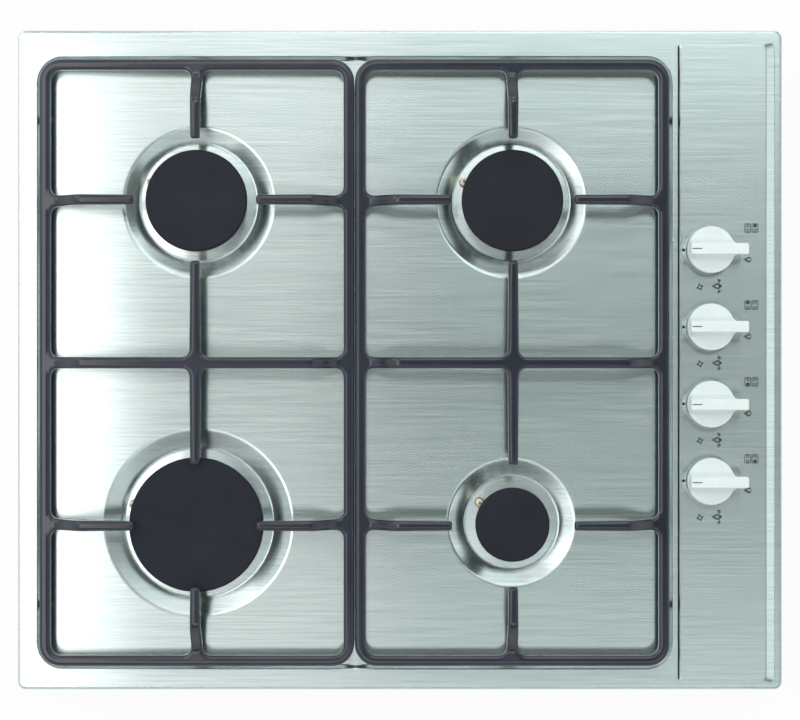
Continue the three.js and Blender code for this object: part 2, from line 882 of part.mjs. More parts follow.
function makeHead(burner) {
  const skirt = burner.boreRadius - runningGap;
  const chamberWall = burner.crownRadius - crownWall;
  const chamberFloor = crownLowZ + crownFloor;
  const skirtLow = crownLowZ - skirtDepth;
  const venturiLow = cupFloorZ + injectorHeight + venturiGap;
  const venturiTop = chamberFloor + venturiLip;
  const profile = [
    [venturiBore, venturiLow],
    [venturiRadius, venturiLow],
    [venturiRadius, skirtLow],
    [skirt, skirtLow],
    [skirt, crownLowZ],
    [burner.crownRadius - crownBevel, crownLowZ],
    [burner.crownRadius, crownLowZ + crownBevel],
    [burner.crownRadius, crownTopZ],
    [chamberWall, crownTopZ],
    [chamberWall, chamberFloor],
    [venturiRadius, chamberFloor],
    [venturiRadius, venturiTop],
    [venturiBore, venturiTop],
    [venturiBore, venturiLow],
  ];
  const ports = Array.from({ length: burner.ports }, (_, i) => (
    block(
      [chamberWall - overcut, -portWidth / 2, crownTopZ - portDepth],
      [burner.crownRadius + overcut, portWidth / 2, crownTopZ + overcut],
    ).rotateZ((i + 0.5) * 2 * Math.PI / burner.ports)
  ));
  const head = cut(revolve(profile, burner.ports), ...ports);
  return piece(`burner_head_${burner.name}`, head, castAluminium, burner.x, burner.y);
}

const cupLowZ = dishZ - cupDepth;
const cupFloorZ = cupLowZ + cupFloorThickness;

function makeCup(burner) {
  const under = hobSheet + seatGap;
  const outside = burner.boreRadius + cupWall;
  const flangeEdge = burner.capRadius + cupFlange;
  const flangeTop = dishHeight(burner, flangeEdge) - under;
  const flangeRoot = dishHeight(burner, burner.holeRadius) - under;
  const collarTop = crownLowZ - seatGap;
  const profile = [
    [0, cupLowZ],
    [outside - cupWall, cupLowZ],
    [outside, cupLowZ + cupWall],
    [outside, flangeTop - cupFlangeThickness],
    [flangeEdge, flangeTop - cupFlangeThickness],
    [flangeEdge, flangeTop],
    [burner.collarRadius, flangeRoot],
    [burner.collarRadius, collarTop],
    [burner.boreRadius, collarTop],
    [burner.boreRadius, cupFloorZ],
    [injectorRadius, cupFloorZ],
    [injectorRadius / 2, cupFloorZ + injectorHeight],
    [0, cupFloorZ + injectorHeight],
  ];
  const socket = rod(pipeRadius + socketWall, outside - cupWall / 2, outside + cupSocketLength, pipeSides)
    .rotateY(Math.PI / 2).translate(0, 0, pipeZ);
  const socketEnd = outside + cupSocketLength;
  const socketBore = rod(
    flatsAt(pipeRadius + runningGap, pipeSides), socketEnd - socketDepth, socketEnd + overcut, pipeSides,
  ).rotateY(Math.PI / 2).translate(0, 0, pipeZ);
  const spark = sparkPlace(burner);
  const sparkHole = rod(flatsAt(ceramicRadius + runningGap, smallSides), cupLowZ, crownTopZ, smallSides)
    .translate(spark.x, spark.y, 0);
  const cup = cut(join(revolve(profile, burner.ports), socket), socketBore, sparkHole);
  return piece(`burner_cup_${burner.name}`, cup, castAluminium, burner.x, burner.y);
}

// Ceramic body with its steel pin above and its ignition lead below, run to the spark generator
function makeElectrode(burner) {
  const spark = sparkPlace(burner);
  const ceramicTop = recessZ + ceramicHeight;
  const ceramicLow = ceramicTop - ceramicLength;
  const pinTop = ceramicTop + sparkPinHeight;
  const body = revolve([
    [0, ceramicLow], [ceramicRadius, ceramicLow], [ceramicRadius, ceramicTop],
    [sparkPinRadius, ceramicTop], [sparkPinRadius, pinTop], [0, pinTop],
  ], smallSides);
  const foot = new THREE.Vector3(burner.x + spark.x, burner.y + spark.y, 0);
  const plug = generatorTerminal(burner.column, burner.row);
  const corners = [
    foot.clone().setZ(ceramicLow + overcut),
    foot.clone().setZ(plug.z),
    new THREE.Vector3(plug.x + burner.column * 2 * leadBend, plug.y, plug.z),
    new THREE.Vector3(plug.x + burner.column * seatGap, plug.y, plug.z),
  ].map((corner) => corner.sub(new THREE.Vector3(foot.x, foot.y, 0)));
  const lead = bentRod(corners, leadRadius, leadBend, smallSides);
  return piece(`spark_electrode_${burner.name}`, join(body, lead), ceramic, foot.x, foot.y);
}

// ---------- Gas pipes, rail and inlet ----------

function makePipe(burner) {
  const cupEnd = burner.boreRadius + cupWall + cupSocketLength - socketDepth + seatGap;
  const tapEnd = knobX - tapOutletLength + socketDepth - seatGap;
  const start = new THREE.Vector3(burner.x + cupEnd, burner.y, pipeZ);
  const turnX = burner.x + cupEnd + 2 * pipeBend;
  const corners = [
    start,
    new THREE.Vector3(turnX, burner.y, pipeZ),
    new THREE.Vector3(turnX, burner.knobY, pipeZ),
    new THREE.Vector3(tapEnd, burner.knobY, pipeZ),
  ];
  const bend = Math.min(pipeBend, Math.abs(burner.y - burner.knobY) / 2);
  const pipe = bentRod(corners, pipeRadius, bend, pipeSides);
  return piece(`gas_pipe_${burner.name}`, pipe, castAluminium);
}

const railFrontY = knobCentreY - (knobCount - 1) * knobPitch / 2 - railEndLength;
const railRearY = boxHalfY - boxSheet - inletNutLength;

function makeRail() {
  const bore = railRadius - railWall;
  const profile = [
    [0, railFrontY], [railRadius, railFrontY], [railRadius, railRearY],
    [bore, railRearY], [bore, railFrontY + railWall], [0, railFrontY + railWall],
  ];
  const tube = revolve(profile, tapSides).rotateX(-Math.PI / 2).translate(knobX, 0, railZ);
  return piece('gas_rail', tube, galvanisedSteel);
}

// Nut against the box wall with a threaded stub through it for the supply pipe
function makeInlet() {
  const nutLow = railRearY + seatGap;
  const nutHigh = boxHalfY - boxSheet - seatGap;
  const profile = [
    [inletBore, nutLow], [inletNutRadius, nutLow], [inletNutRadius, nutHigh],
    [inletRadius, nutHigh], [inletRadius, boxHalfY + inletStub], [inletBore, boxHalfY + inletStub],
    [inletBore, nutLow],
  ];
  const fitting = revolve(profile, tapSides).rotateX(-Math.PI / 2).translate(knobX, 0, railZ);
  return piece('gas_inlet', fitting, brass);
}

// ---------- Taps, spindles and knobs ----------

// A shaft section with one flat on its +X side
function spindleShape(gap) {
  const radius = spindleRadius + gap;
  const flat = spindleFlat + gap;
  const start = Math.acos(flat / radius);
  const points = Array.from({ length: pipeSides }, (_, i) => {
    const angle = start + i * (2 * Math.PI - 2 * start) / (pipeSides - 1);
    return new THREE.Vector2(radius * Math.cos(angle), radius * Math.sin(angle));
  });
  return new THREE.Shape(points);
}

function spindlePrism(gap, low, high) {
  const options = { depth: high - low, bevelEnabled: false };
  return new THREE.ExtrudeGeometry(spindleShape(gap), options).translate(0, 0, low);
}

function makeTap(burner) {
  const chamberTop = flatsAt(plugTopRadius + runningGap, tapSides);
  const chamberLow = flatsAt(plugBottomRadius + runningGap, tapSides);
  const neckBore = flatsAt(spindleRadius + runningGap, tapSides);
  const profile = [
    [0, tapLowZ],
    [tapRadius, tapLowZ],
    [tapRadius, tapShoulderZ],
    [tapNeckRadius, tapShoulderZ],
    [tapNeckRadius, tapTopZ],
    [neckBore, tapTopZ],
    [neckBore, chamberTopZ],
    [chamberTop, chamberTopZ],
    [chamberLow, chamberLowZ],
    [0, chamberLowZ],
  ];
  const body = revolve(profile, tapSides);
  const saddle = block(
    [-saddleWidth / 2, -saddleLength / 2, railZ - saddleDrop],
    [saddleWidth / 2, saddleLength / 2, tapLowZ + overcut],
  );
  const railWay = rod(flatsAt(railRadius + runningGap, tapSides), -saddleLength, saddleLength, tapSides)
    .rotateX(Math.PI / 2).translate(0, 0, railZ);
  const saddleMouth = block(
    [-railRadius - runningGap, -saddleLength, 0],
    [railRadius + runningGap, saddleLength, railZ],
  );
  const outlet = rod(pipeRadius + socketWall, tapRadius - tapWall / 2, tapOutletLength, pipeSides)
    .rotateY(-Math.PI / 2).translate(0, 0, pipeZ);
  const outletBore = rod(
    flatsAt(pipeRadius + runningGap, pipeSides),
    tapOutletLength - socketDepth,
    tapOutletLength + overcut,
    pipeSides,
  ).rotateY(-Math.PI / 2).translate(0, 0, pipeZ);
  const tap = cut(join(body, saddle, outlet), railWay, saddleMouth, outletBore);
  return piece(`gas_tap_${burner.name}`, tap, brass, knobX, burner.knobY);
}

// The tapered plug that opens and shuts the tap, driven by the spindle's flat
function makePlug(burner) {
  const cone = revolve([
    [0, plugLowZ], [plugBottomRadius, plugLowZ], [plugTopRadius, plugTopZ], [0, plugTopZ],
  ], tapSides);
  const socketLow = spindleLowZ - pushTravel - pushSpare;
  const plug = cut(cone, spindlePrism(runningGap, socketLow, plugTopZ + overcut));
  return piece(`tap_plug_${burner.name}`, plug, brass, knobX, burner.knobY);
}

function makeSpindle(burner) {
  const spindle = spindlePrism(0, spindleLowZ, knobLowZ + spindleInKnob);
  return piece(`spindle_${burner.name}`, spindle, galvanisedSteel, knobX, burner.knobY);
}

// A hollow disc with a grip bar across it that reaches past the disc on one side
function makeKnob(burner) {
  const hollowTop = knobDiscZ - knobWall;
  const disc = revolve([
    [0, knobLowZ - knobHubDepth],
    [knobHubRadius, knobLowZ - knobHubDepth],
    [knobHubRadius, hollowTop],
    [knobRadius - knobWall, hollowTop],
    [knobRadius - knobWall, knobLowZ],
    [knobRadius, knobLowZ],
    [knobRadius, knobDiscZ - knobEdgeChamfer],
    [knobRadius - knobEdgeChamfer, knobDiscZ],
    [0, knobDiscZ],
  ], knobSides);
  const ridgeSection = (x) => [
    [-gripRootWidth / 2, knobDiscZ - knobEdgeChamfer],
    [gripRootWidth / 2, knobDiscZ - knobEdgeChamfer],
    [gripWidth / 2, knobTopZ],
    [-gripWidth / 2, knobTopZ],
  ].map(([y, z]) => new THREE.Vector3(x, y, z));
  const ridge = solid(loft([ridgeSection(-knobRadius), ridgeSection(knobRadius)]));
  const limit = solid(rod(knobRadius - knobEdgeChamfer / 2, knobLowZ, knobTopZ + overcut, knobSides));
  const bar = block(
    [-knobRadius + knobEdgeChamfer / 2, -gripWidth / 2, knobTopZ - gripTipHeight],
    [gripReach, gripWidth / 2, knobTopZ],
  );
  const bore = spindlePrism(runningGap, knobLowZ - 2 * overcut, knobLowZ + spindleInKnob + runningGap);
  const knob = cut(join(disc, ridge.intersect(limit), bar), bore);
  return piece(`knob_${burner.name}`, knob, knobPlastic, knobX, burner.knobY);
}

// ---------- Ignition and wiring ----------

// One moulded strip over the tap necks, with a switch housing beside each
function makeSwitchStrip() {
  const low = tapShoulderZ + seatGap;
  const span = (knobCount - 1) * knobPitch / 2 + stripEnd;
  const strip = block(
    [knobX - stripWidth / 2, knobCentreY - span, low],
    [knobX + stripWidth / 2, knobCentreY + span, low + stripThickness],
  );
  const necks = burners.map((burner) => (
    rod(flatsAt(tapNeckRadius + runningGap, tapSides), low - overcut, panelZ, tapSides)
      .translate(knobX, burner.knobY, 0)
  ));
  const housings = burners.map((burner) => {
    const y = burner.knobY + tapNeckRadius + switchGap;
    return block(
      [knobX - switchWidth / 2, y, low + stripThickness / 2],
      [knobX + switchWidth / 2, y + switchWidth, low + switchHeight],
    );
  });
  return piece('ignition_switch_strip', cut(join(strip, ...housings), ...necks), palePlastic);
}

function generatorTerminal(column, row) {
  return new THREE.Vector3(
    cookingCentreX + column * (generatorWidth / 2 + terminalLength),
    cookingCentreY + row * generatorLength / 4,
    boxFloorZ + seatGap + terminalRadius,
  );
}

function makeGenerator() {
  const low = boxFloorZ + seatGap;
  const halfX = generatorWidth / 2;
  const halfY = generatorLength / 2;
  const body = block([-halfX, -halfY, low], [halfX, halfY, low + generatorHeight]);
  const ears = block(
    [-halfX / 2, -halfY - generatorEar, low],
    [halfX / 2, halfY + generatorEar, low + generatorEarThickness],
  );
  const terminals = [[1, 1], [1, -1], [-1, 1], [-1, -1]].map(([column, row]) => {
    const tip = generatorTerminal(column, row);
    return rod(terminalRadius, halfX - overcut, halfX + terminalLength, smallSides)
      .rotateY(column * Math.PI / 2)
      .translate(0, tip.y - cookingCentreY, tip.z);
  });
  const generator = join(body, ears, ...terminals);
  return piece('spark_generator', generator, darkPlastic, cookingCentreX, cookingCentreY);
}

function makeCableGland() {
  const inside = boxHalfY - boxSheet - seatGap;
  const outside = boxHalfY + seatGap;
  const profile = [
    [glandBore, inside - glandFlangeThickness],
    [glandFlangeRadius, inside - glandFlangeThickness],
    [glandFlangeRadius, inside],
    [glandRadius, inside],
    [glandRadius, outside],
    [glandFlangeRadius, outside],
    [glandFlangeRadius, outside + glandFlangeThickness],
    [glandRadius, outside + 2 * glandFlangeThickness],
    [glandBore, outside + 2 * glandFlangeThickness],
    [glandBore, inside - glandFlangeThickness],
  ];
  const gland = revolve(profile, tapSides).rotateX(-Math.PI / 2).translate(glandX, 0, glandHeight);
  return piece('cable_gland', gland, darkPlastic);
}

function makeTerminalBlock() {
  const low = boxFloorZ + seatGap;
  const top = low + terminalBlockHeight;
  const y = boxHalfY - terminalBlockFromWall - terminalBlockLength / 2;
  const halfX = terminalBlockWidth / 2;
  const halfY = terminalBlockLength / 2;
  const body = block([-halfX, -halfY, low], [halfX, halfY, top]);
  const pitch = terminalBlockWidth / terminalSlots;
  const slots = Array.from({ length: terminalSlots }, (_, i) => {
    const x = (i - (terminalSlots - 1) / 2) * pitch;
    return block(
      [x - terminalSlotWidth / 2, -halfY - overcut, top - terminalSlotDepth],
      [x + terminalSlotWidth / 2, halfY + overcut, top + overcut],
    );
  });
  return piece('terminal_block', cut(body, ...slots), palePlastic, glandX, y);
}

// ---------- Assembly ----------

function grouped(...pieces) {
  const group = new THREE.Group();
  group.add(...pieces.flat());
  return group;
}

const cooktop = grouped(
  grouped(makeHobTop(), makeBurnerBox(), makeRimSeal(), clampPlaces.map(makeClamp)),
  grouped(makePanSupport('left', -1), makePanSupport('right', 1)),
  grouped(burners.map((burner) => [makeCap(burner), makeHead(burner), makeCup(burner)]).flat()),
  grouped(burners.map((burner) => [makeElectrode(burner), makePipe(burner)]).flat()),
  grouped(burners.map((burner) => [makeKnob(burner), makeSpindle(burner)]).flat()),
  grouped(burners.map((burner) => [makePlug(burner), makeTap(burner)]).flat()),
  grouped(makeRail(), makeInlet(), makeSwitchStrip()),
  grouped(makeGenerator(), makeCableGland(), makeTerminalBlock()),
);

export default cooktop;
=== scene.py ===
import math

import bmesh
import bpy
from mathutils import Matrix, Vector


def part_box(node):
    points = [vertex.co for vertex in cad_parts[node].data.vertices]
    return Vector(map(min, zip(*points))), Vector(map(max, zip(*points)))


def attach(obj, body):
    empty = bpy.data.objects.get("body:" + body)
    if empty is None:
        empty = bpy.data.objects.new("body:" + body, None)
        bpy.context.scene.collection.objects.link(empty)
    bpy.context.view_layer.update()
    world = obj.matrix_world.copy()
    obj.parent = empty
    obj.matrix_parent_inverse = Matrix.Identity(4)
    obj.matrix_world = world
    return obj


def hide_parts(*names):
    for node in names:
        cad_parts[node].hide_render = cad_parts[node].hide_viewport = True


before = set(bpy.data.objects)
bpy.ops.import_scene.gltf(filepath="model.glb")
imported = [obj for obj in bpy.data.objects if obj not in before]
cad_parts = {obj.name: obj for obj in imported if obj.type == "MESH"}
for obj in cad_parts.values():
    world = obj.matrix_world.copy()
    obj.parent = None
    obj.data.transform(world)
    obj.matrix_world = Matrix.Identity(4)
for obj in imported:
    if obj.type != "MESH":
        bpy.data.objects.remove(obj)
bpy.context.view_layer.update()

MM = 0.001

# ---------- Sizes of the cooktop, in millimetres, in the CAD frame ----------

# Levels of the pressed sheet
FLANGE_Z = 48.0
RIM_Z = 56.0
RECESS_Z = 53.0
PANEL_Z = 57.5
DISH_Z = 49.0
DISH_RISE = 1.5
SHEET = 0.8

# Plan of the pressed sheet
HOB_HALF_X = 290.0
HOB_HALF_Y = 250.0
HOB_CORNER = 6.0
RETURN_FLANGE = 14.0
RECESS_LOW = (-275.0, -234.0)
RECESS_HIGH = (206.5, 230.0)
RECESS_CORNER = 20.0
RECESS_SLOPE = 2.0
PANEL_LOW = (211.8, -244.85)
PANEL_HIGH = (284.3, 240.85)
PANEL_CORNER = 4.0
PANEL_STEP = 0.8
PANEL_BEVEL = 6.8
PANEL_END = 2.0
PANEL_FOOT = 0.4
PANEL_FOOT_SHARE = 0.05
SPINDLE_HOLE = 6.0
SPARK_HOLE_GAP = 0.35
SPARK_DRILL_Z = (45.0, 58.0)
SMALLEST_CORNER = 0.3

# Bends of the pressed sheet: how much of each side of a corner is rounded off, for the panel's edge
# in shares of its bevel. A lead-in only gives the direction in which a profile starts or ends.
EDGE_BEND = 1.9
FLANGE_BEND = 1.0
RECESS_TOP_BEND = 0.9
RECESS_FOOT_BEND = 1.1
PANEL_BENDS = (0.02, 0.05, 0.08)
DISH_TOP_BEND = 1.6
DISH_FOOT_BEND = 1.5
LEAD_IN = 8.0

# Painted shade at the foot of the panel's left edge: a thin black strip where the raised step only casts
# shade
SHADE_LINE_WIDTH = 1.1
SHADE_LINE_LAP = 0.25
SHADE_LINE_END = 2.5
SHADE_LINE_SUNK = 0.2
SHADE_LINE_PROUD = 0.25
SHADE_LINE_SHOULDER = 0.7
SHADE_LINE_CROWN_INSET = 0.2

# Burners: cap radius, flat and slope of the pressed dish, flame ports, angle of the electrode
BURNER_KINDS = {
    "rapid": {"cap": 50.5, "flat": 6.3, "slope": 14.4, "ports": 44},
    "semi_rapid": {"cap": 38.2, "flat": 6.6, "slope": 12.2, "ports": 34},
    "auxiliary": {"cap": 27.9, "flat": 7.9, "slope": 12.7, "ports": 24},
}
BURNERS = {
    "rear_right": {"kind": "semi_rapid", "spark": 157},
    "rear_left": {"kind": "semi_rapid", "spark": 157},
    "front_left": {"kind": "rapid", "spark": 164},
    "front_right": {"kind": "auxiliary", "spark": 147},
}
COLLAR_INSET = 8.7
COLLAR_WALL = 1.8
RUNNING_GAP = 0.3
HOLE_GAP = 0.7
CAP_TOP_Z = 73.0
CAP_LOW_Z = 67.6
CAP_EDGE_LOW_BEND = 0.8
CAP_EDGE_TOP_BEND = 1.9
SPIGOT_DEPTH = 2.4
SPIGOT_WALL = 2.0
SPIGOT_GAP = 0.6
SPIGOT_BEND = 0.3
# The cap's spigot clears the CAD's coarsest burner chamber, which has this many sides
CHAMBER_SIDES = 12
CROWN_TOP_Z = 67.3
CROWN_LOW_Z = 52.3
CROWN_INSET = 3.0
CROWN_WALL = 5.0
CROWN_BEVEL = 2.5
CROWN_FLOOR = 3.75
SKIRT_DEPTH = 7.0
VENTURI_RADIUS = 9.0
VENTURI_BORE = 6.5
VENTURI_RISE = 7.5
PORT_WIDTH = 1.6
PORT_DEPTH = 6.0
PORT_OVERCUT = 1.0

# Spark electrodes
SPARK_OUT = 1.0
CERAMIC_RADIUS = 2.6
CERAMIC_LOW_Z = 38.5
CERAMIC_TOP_Z = 62.5
CERAMIC_BENDS = (0.4, 0.6, 0.05)
PIN_RADIUS = 0.9
PIN_TOP_Z = 65.9
PIN_SUNK = 1.2
PIN_SEAT = 0.2
PIN_BENDS = (0.1, 0.4)
# Gasket round the ceramic: how far beyond the ceramic's side, and height
GASKET_PROFILE = ((0.02, 50.6), (0.9, 50.4), (0.9, 51.0), (0.02, 51.3))

# Pan supports. The fingers' tips stand a radius away from their burner's axis.
BAR_WIDTH = 8.0
BAR_LOW_Z = 61.0
BAR_TOP_Z = 70.0
BAR_CROWN = 2.3
BAR_FOOT = 1.4
PAN_Z = 84.0
FINGER_LOW_Z = 77.0
FINGER_ROOT = 8.6
FINGER_TIP = 7.3
FINGER_TIP_RADIUS = 45.6
FINGER_RISE = 22.0
ROOT_FILLET = 6.0
FLARE_STEPS = 6
FLARE_POWER = 1.5
CLIMB_STEPS = 9
TIP_START = 2.0
TIP_CLEAR = 3.0
# Rounding of a finger's tip: distance from its end, and how far its section is drawn in
TIP_ROUNDING = ((1.0, 0.25), (0.3, 0.8), (0.0, 1.6))
TIP_SIDE_SHARE = 0.6
SUPPORT_CORNER = 16.0
CASTING_VOXEL = 1.0
FEET = 4
FOOT_LOW_RADIUS = 3.2
FOOT_TOP_RADIUS = 3.4
FOOT_LOW_Z = 53.3
FOOT_TOP_Z = 60.7
FOOT_BENDS = (0.9, 0.7)

# Knobs
KNOB_RADIUS = 17.7
KNOB_LOW_Z = 61.0
KNOB_DISC_Z = 67.0
KNOB_TOP_Z = 80.0
KNOB_WALL = 2.0
KNOB_STEM = 5.5
KNOB_STEM_BELOW = 1.0
KNOB_BEND = 0.3
KNOB_EDGE_BEND = 1.3
GRIP_INSET = 0.5
GRIP_WIDTH = 8.2
GRIP_ROOT_WIDTH = 14.5
GRIP_REACH = 26.0
GRIP_TIP_HEIGHT = 9.0
GRIP_BENDS = (1.0, 0.9, 0.9, 1.0)
# Rounding of the grip's ends: distance from the end, and how far the section is drawn in
GRIP_END = ((0.0, 0.8), (0.3, 0.25), (0.9, 0.0))
# The ridge under the grip: width, how far its ends are drawn in, height
RIDGE_LEVELS = (
    (GRIP_ROOT_WIDTH, 0.0, KNOB_DISC_Z - 1.0),
    (GRIP_ROOT_WIDTH - 0.6, 0.0, KNOB_DISC_Z + 0.3),
    (GRIP_WIDTH + 0.1, 0.2, KNOB_TOP_Z - 1.2),
    (GRIP_WIDTH - 1.4, 0.9, KNOB_TOP_Z - 0.1),
)
# The line on the grip, from the grip's left end
POINTER_START = 0.8
POINTER_END = 8.2
POINTER_HALF = 0.4
POINTER_CORNER = 0.35
POINTER_SUNK = 0.3
POINTER_PROUD = 0.04

# Signs on the panel: places from the middle of the group, which lies left of the knob's axis, and
# lengths and widths of the flames and frames and of the holes in them
PRINT_SUNK = 0.2
PRINT_PROUD = 0.03
SIGNS_LEFT = 0.9
OFF_DOT_X = -18.9
OFF_DOT_RADIUS = 1.2
STAR_PLACE = (-6.6, -27.9)
STAR_RADII = (3.2, 1.75)
STAR_HOLE = 0.9
STAR_TURN = 15
FULL_FLAME_PLACE = (6.6, -27.3)
FULL_FLAME = (7.4, 5.6)
FULL_FLAME_HOLE = (3.4, 2.2)
FLAME_HEART = (3.2, 2.0)
FLAME_HEART_X = 8.9
SIDE_FLAME = (3.6, 2.8)
SIDE_FLAME_X = 8.0
SIDE_FLAME_APART = 4.0
SIDE_FLAME_TURN = 55
SMALL_FLAME_PLACE = (30.2, -7.2)
SMALL_FLAME = (6.4, 5.4)
SMALL_FLAME_HOLE = (2.8, 1.9)
FLAME_HOLE_SHIFT = 0.6
FLAME_MIDDLE = 0.35
FLAME_POWER = 0.8
FLAME_FULLNESS = 1.25
PLAN_PLACE = (32.4, 16.7)
PLAN_COLUMN = 2.75
PLAN_ROW = 1.75
PLAN_FRAME = (5.1, 7.3, 1.2)
PLAN_FRAME_HOLE = (3.6, 5.8, 0.7)
PLAN_SPOT = 1.35
PLAN_RING = 1.3
PLAN_RING_HOLE = 0.55

# Facets
CORNER_STEPS = 10
SMALL_CORNER_STEPS = 4
CIRCLE_STEPS = 144
KNOB_STEPS = 96
HOLE_STEPS = 48
MINOR_STEPS = 40
PIN_STEPS = 24
PORT_STEPS = 4


# ---------- Mesh code ----------


class Skin:
    """A mesh put together from rings of points, the strips between them and flat fills."""

    def __init__(self):
        self.mesh = bmesh.new()

    def ring(self, points):
        return [self.mesh.verts.new(Vector(point) * MM) for point in points]

    def strip(self, first, second):
        for i, vertex in enumerate(first):
            following = (i + 1) % len(first)
            self.mesh.faces.new((vertex, first[following], second[following], second[i]))

    def rings(self, loops):
        made = [self.ring(points) for points in loops]
        for first, second in zip(made, made[1:]):
            self.strip(first, second)
        return made

    def tube(self, loops):
        """A closed bar: its rings and the two faces that end it."""
        made = self.rings(loops)
        self.mesh.faces.new(made[0])
        self.mesh.faces.new(made[-1])

    def hoop(self, loops):
        """A closed frame whose last ring meets its first."""
        made = self.rings(loops)
        self.strip(made[-1], made[0])

    def fill(self, *rings):
        """A flat face between an outer ring and the rings inside it."""
        edges = []
        for ring in rings:
            for i, vertex in enumerate(ring):
                pair = (vertex, ring[(i + 1) % len(ring)])
                edges.append(self.mesh.edges.get(pair) or self.mesh.edges.new(pair))
        bmesh.ops.triangle_fill(self.mesh, use_beauty=True, use_dissolve=False, edges=edges)

    def piece(self, name):
        bmesh.ops.recalc_face_normals(self.mesh, faces=self.mesh.faces)
        data = bpy.data.meshes.new(name)
        self.mesh.to_mesh(data)
        self.mesh.free()
        return add_object(name, data)


def add_object(name, data):
    made = bpy.data.objects.new(name, data)
    bpy.context.scene.collection.objects.link(made)
    return made


def outline(low, high, radius, z, steps=CORNER_STEPS):
    """A rounded rectangle between two corners, at one height."""
    corners = [
        (high[0] - radius, high[1] - radius, 0),
        (low[0] + radius, high[1] - radius, 1),
        (low[0] + radius, low[1] + radius, 2),
        (high[0] - radius, low[1] + radius, 3),
    ]
    points = []
    for x, y, quarter in corners:
        for step in range(steps + 1):
            angle = (quarter + step / steps) * math.pi / 2
            points.append((x + radius * math.cos(angle), y + radius * math.sin(angle), z))
    return points


def inset_outline(low, high, radius, inset, z):
    """The same rectangle drawn in on every side, its corners with it."""
    inner_low = (low[0] + inset, low[1] + inset)
    inner_high = (high[0] - inset, high[1] - inset)
    return outline(inner_low, inner_high, max(radius - inset, SMALLEST_CORNER), z)


def circle(x, y, radius, z, steps=CIRCLE_STEPS):
    angles = [2 * math.pi * i / steps for i in range(steps)]
    return [(x + radius * math.cos(a), y + radius * math.sin(a), z) for a in angles]


def rounded(corners, cuts, steps=4):
    """A profile whose inner corners are rounded off by the given cuts, without its two ends."""
    points = []
    for before, corner, after, cut in zip(corners, corners[1:], corners[2:], cuts):
        middle = Vector(corner)
        back = Vector(before) - middle
        ahead = Vector(after) - middle
        start = middle + back.normalized() * min(cut, back.length / 2)
        end = middle + ahead.normalized() * min(cut, ahead.length / 2)
        for i in range(steps + 1):
            t = i / steps
            points.append(start * (1 - t) ** 2 + middle * 2 * t * (1 - t) + end * t ** 2)
    return points


def turned(name, centre, profile, steps=CIRCLE_STEPS):
    """A closed body of revolution about an upright axis, from a profile of radius and height."""
    thinnest = 0.05
    skin = Skin()
    skin.tube([circle(centre[0], centre[1], max(radius, thinnest), z, steps) for radius, z in profile])
    return skin.piece(name)


def turned_hollow(name, centre, profile, steps=CIRCLE_STEPS):
    """A ring-shaped body of revolution: the profile closes on itself."""
    skin = Skin()
    skin.hoop([circle(centre[0], centre[1], radius, z, steps) for radius, z in profile])
    return skin.piece(name)


def settle(piece):
    """Makes the result of the piece's modifiers its own mesh."""
    bpy.context.view_layer.update()
    graph = bpy.context.evaluated_depsgraph_get()
    result = bpy.data.meshes.new_from_object(piece.evaluated_get(graph))
    piece.modifiers.clear()
    piece.data = result


def combine(piece, tool, operation, self_crossing=True):
    """Joins the tool to the piece or cuts it out, and removes the tool. Either may cross itself."""
    modifier = piece.modifiers.new("combine", "BOOLEAN")
    modifier.operation = operation
    modifier.solver = "EXACT"
    modifier.use_self = self_crossing
    modifier.object = tool
    settle(piece)
    bpy.data.objects.remove(tool)


def shade(piece, angle):
    """Smooth surfaces, with hard edges where faces meet at more than the angle."""
    piece.data.shade_smooth()
    piece.data.set_sharp_from_angle(angle=math.radians(angle))
    weighted = piece.modifiers.new("normals", "WEIGHTED_NORMAL")
    weighted.keep_sharp = True


def centre_of(node):
    low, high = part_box(node)
    return (low + high) / 2 / MM


# ---------- Materials ----------


def srgb(red, green, blue):
    """A colour as it shows on a screen, 0 to 255, as a linear shader colour."""
    linear = []
    for value in (red, green, blue):
        share = value / 255
        linear.append(share / 12.92 if share <= 0.04045 else ((share + 0.055) / 1.055) ** 2.4)
    return (*linear, 1.0)


def add_node(tree, kind, inputs=(), **settings):
    """A shader node with its settings, and with its inputs set or linked."""
    made = tree.nodes.new(kind)
    for key, value in settings.items():
        setattr(made, key, value)
    for socket, value in dict(inputs).items():
        if isinstance(value, bpy.types.NodeSocket):
            tree.links.new(value, made.inputs[socket])
        else:
            made.inputs[socket].default_value = value
    return made


def map_range(value, start, end, low, high):
    """Inputs of a Map Range node that takes start to low and end to high."""
    return {"Value": value, "From Min": start, "From Max": end, "To Min": low, "To Max": high}


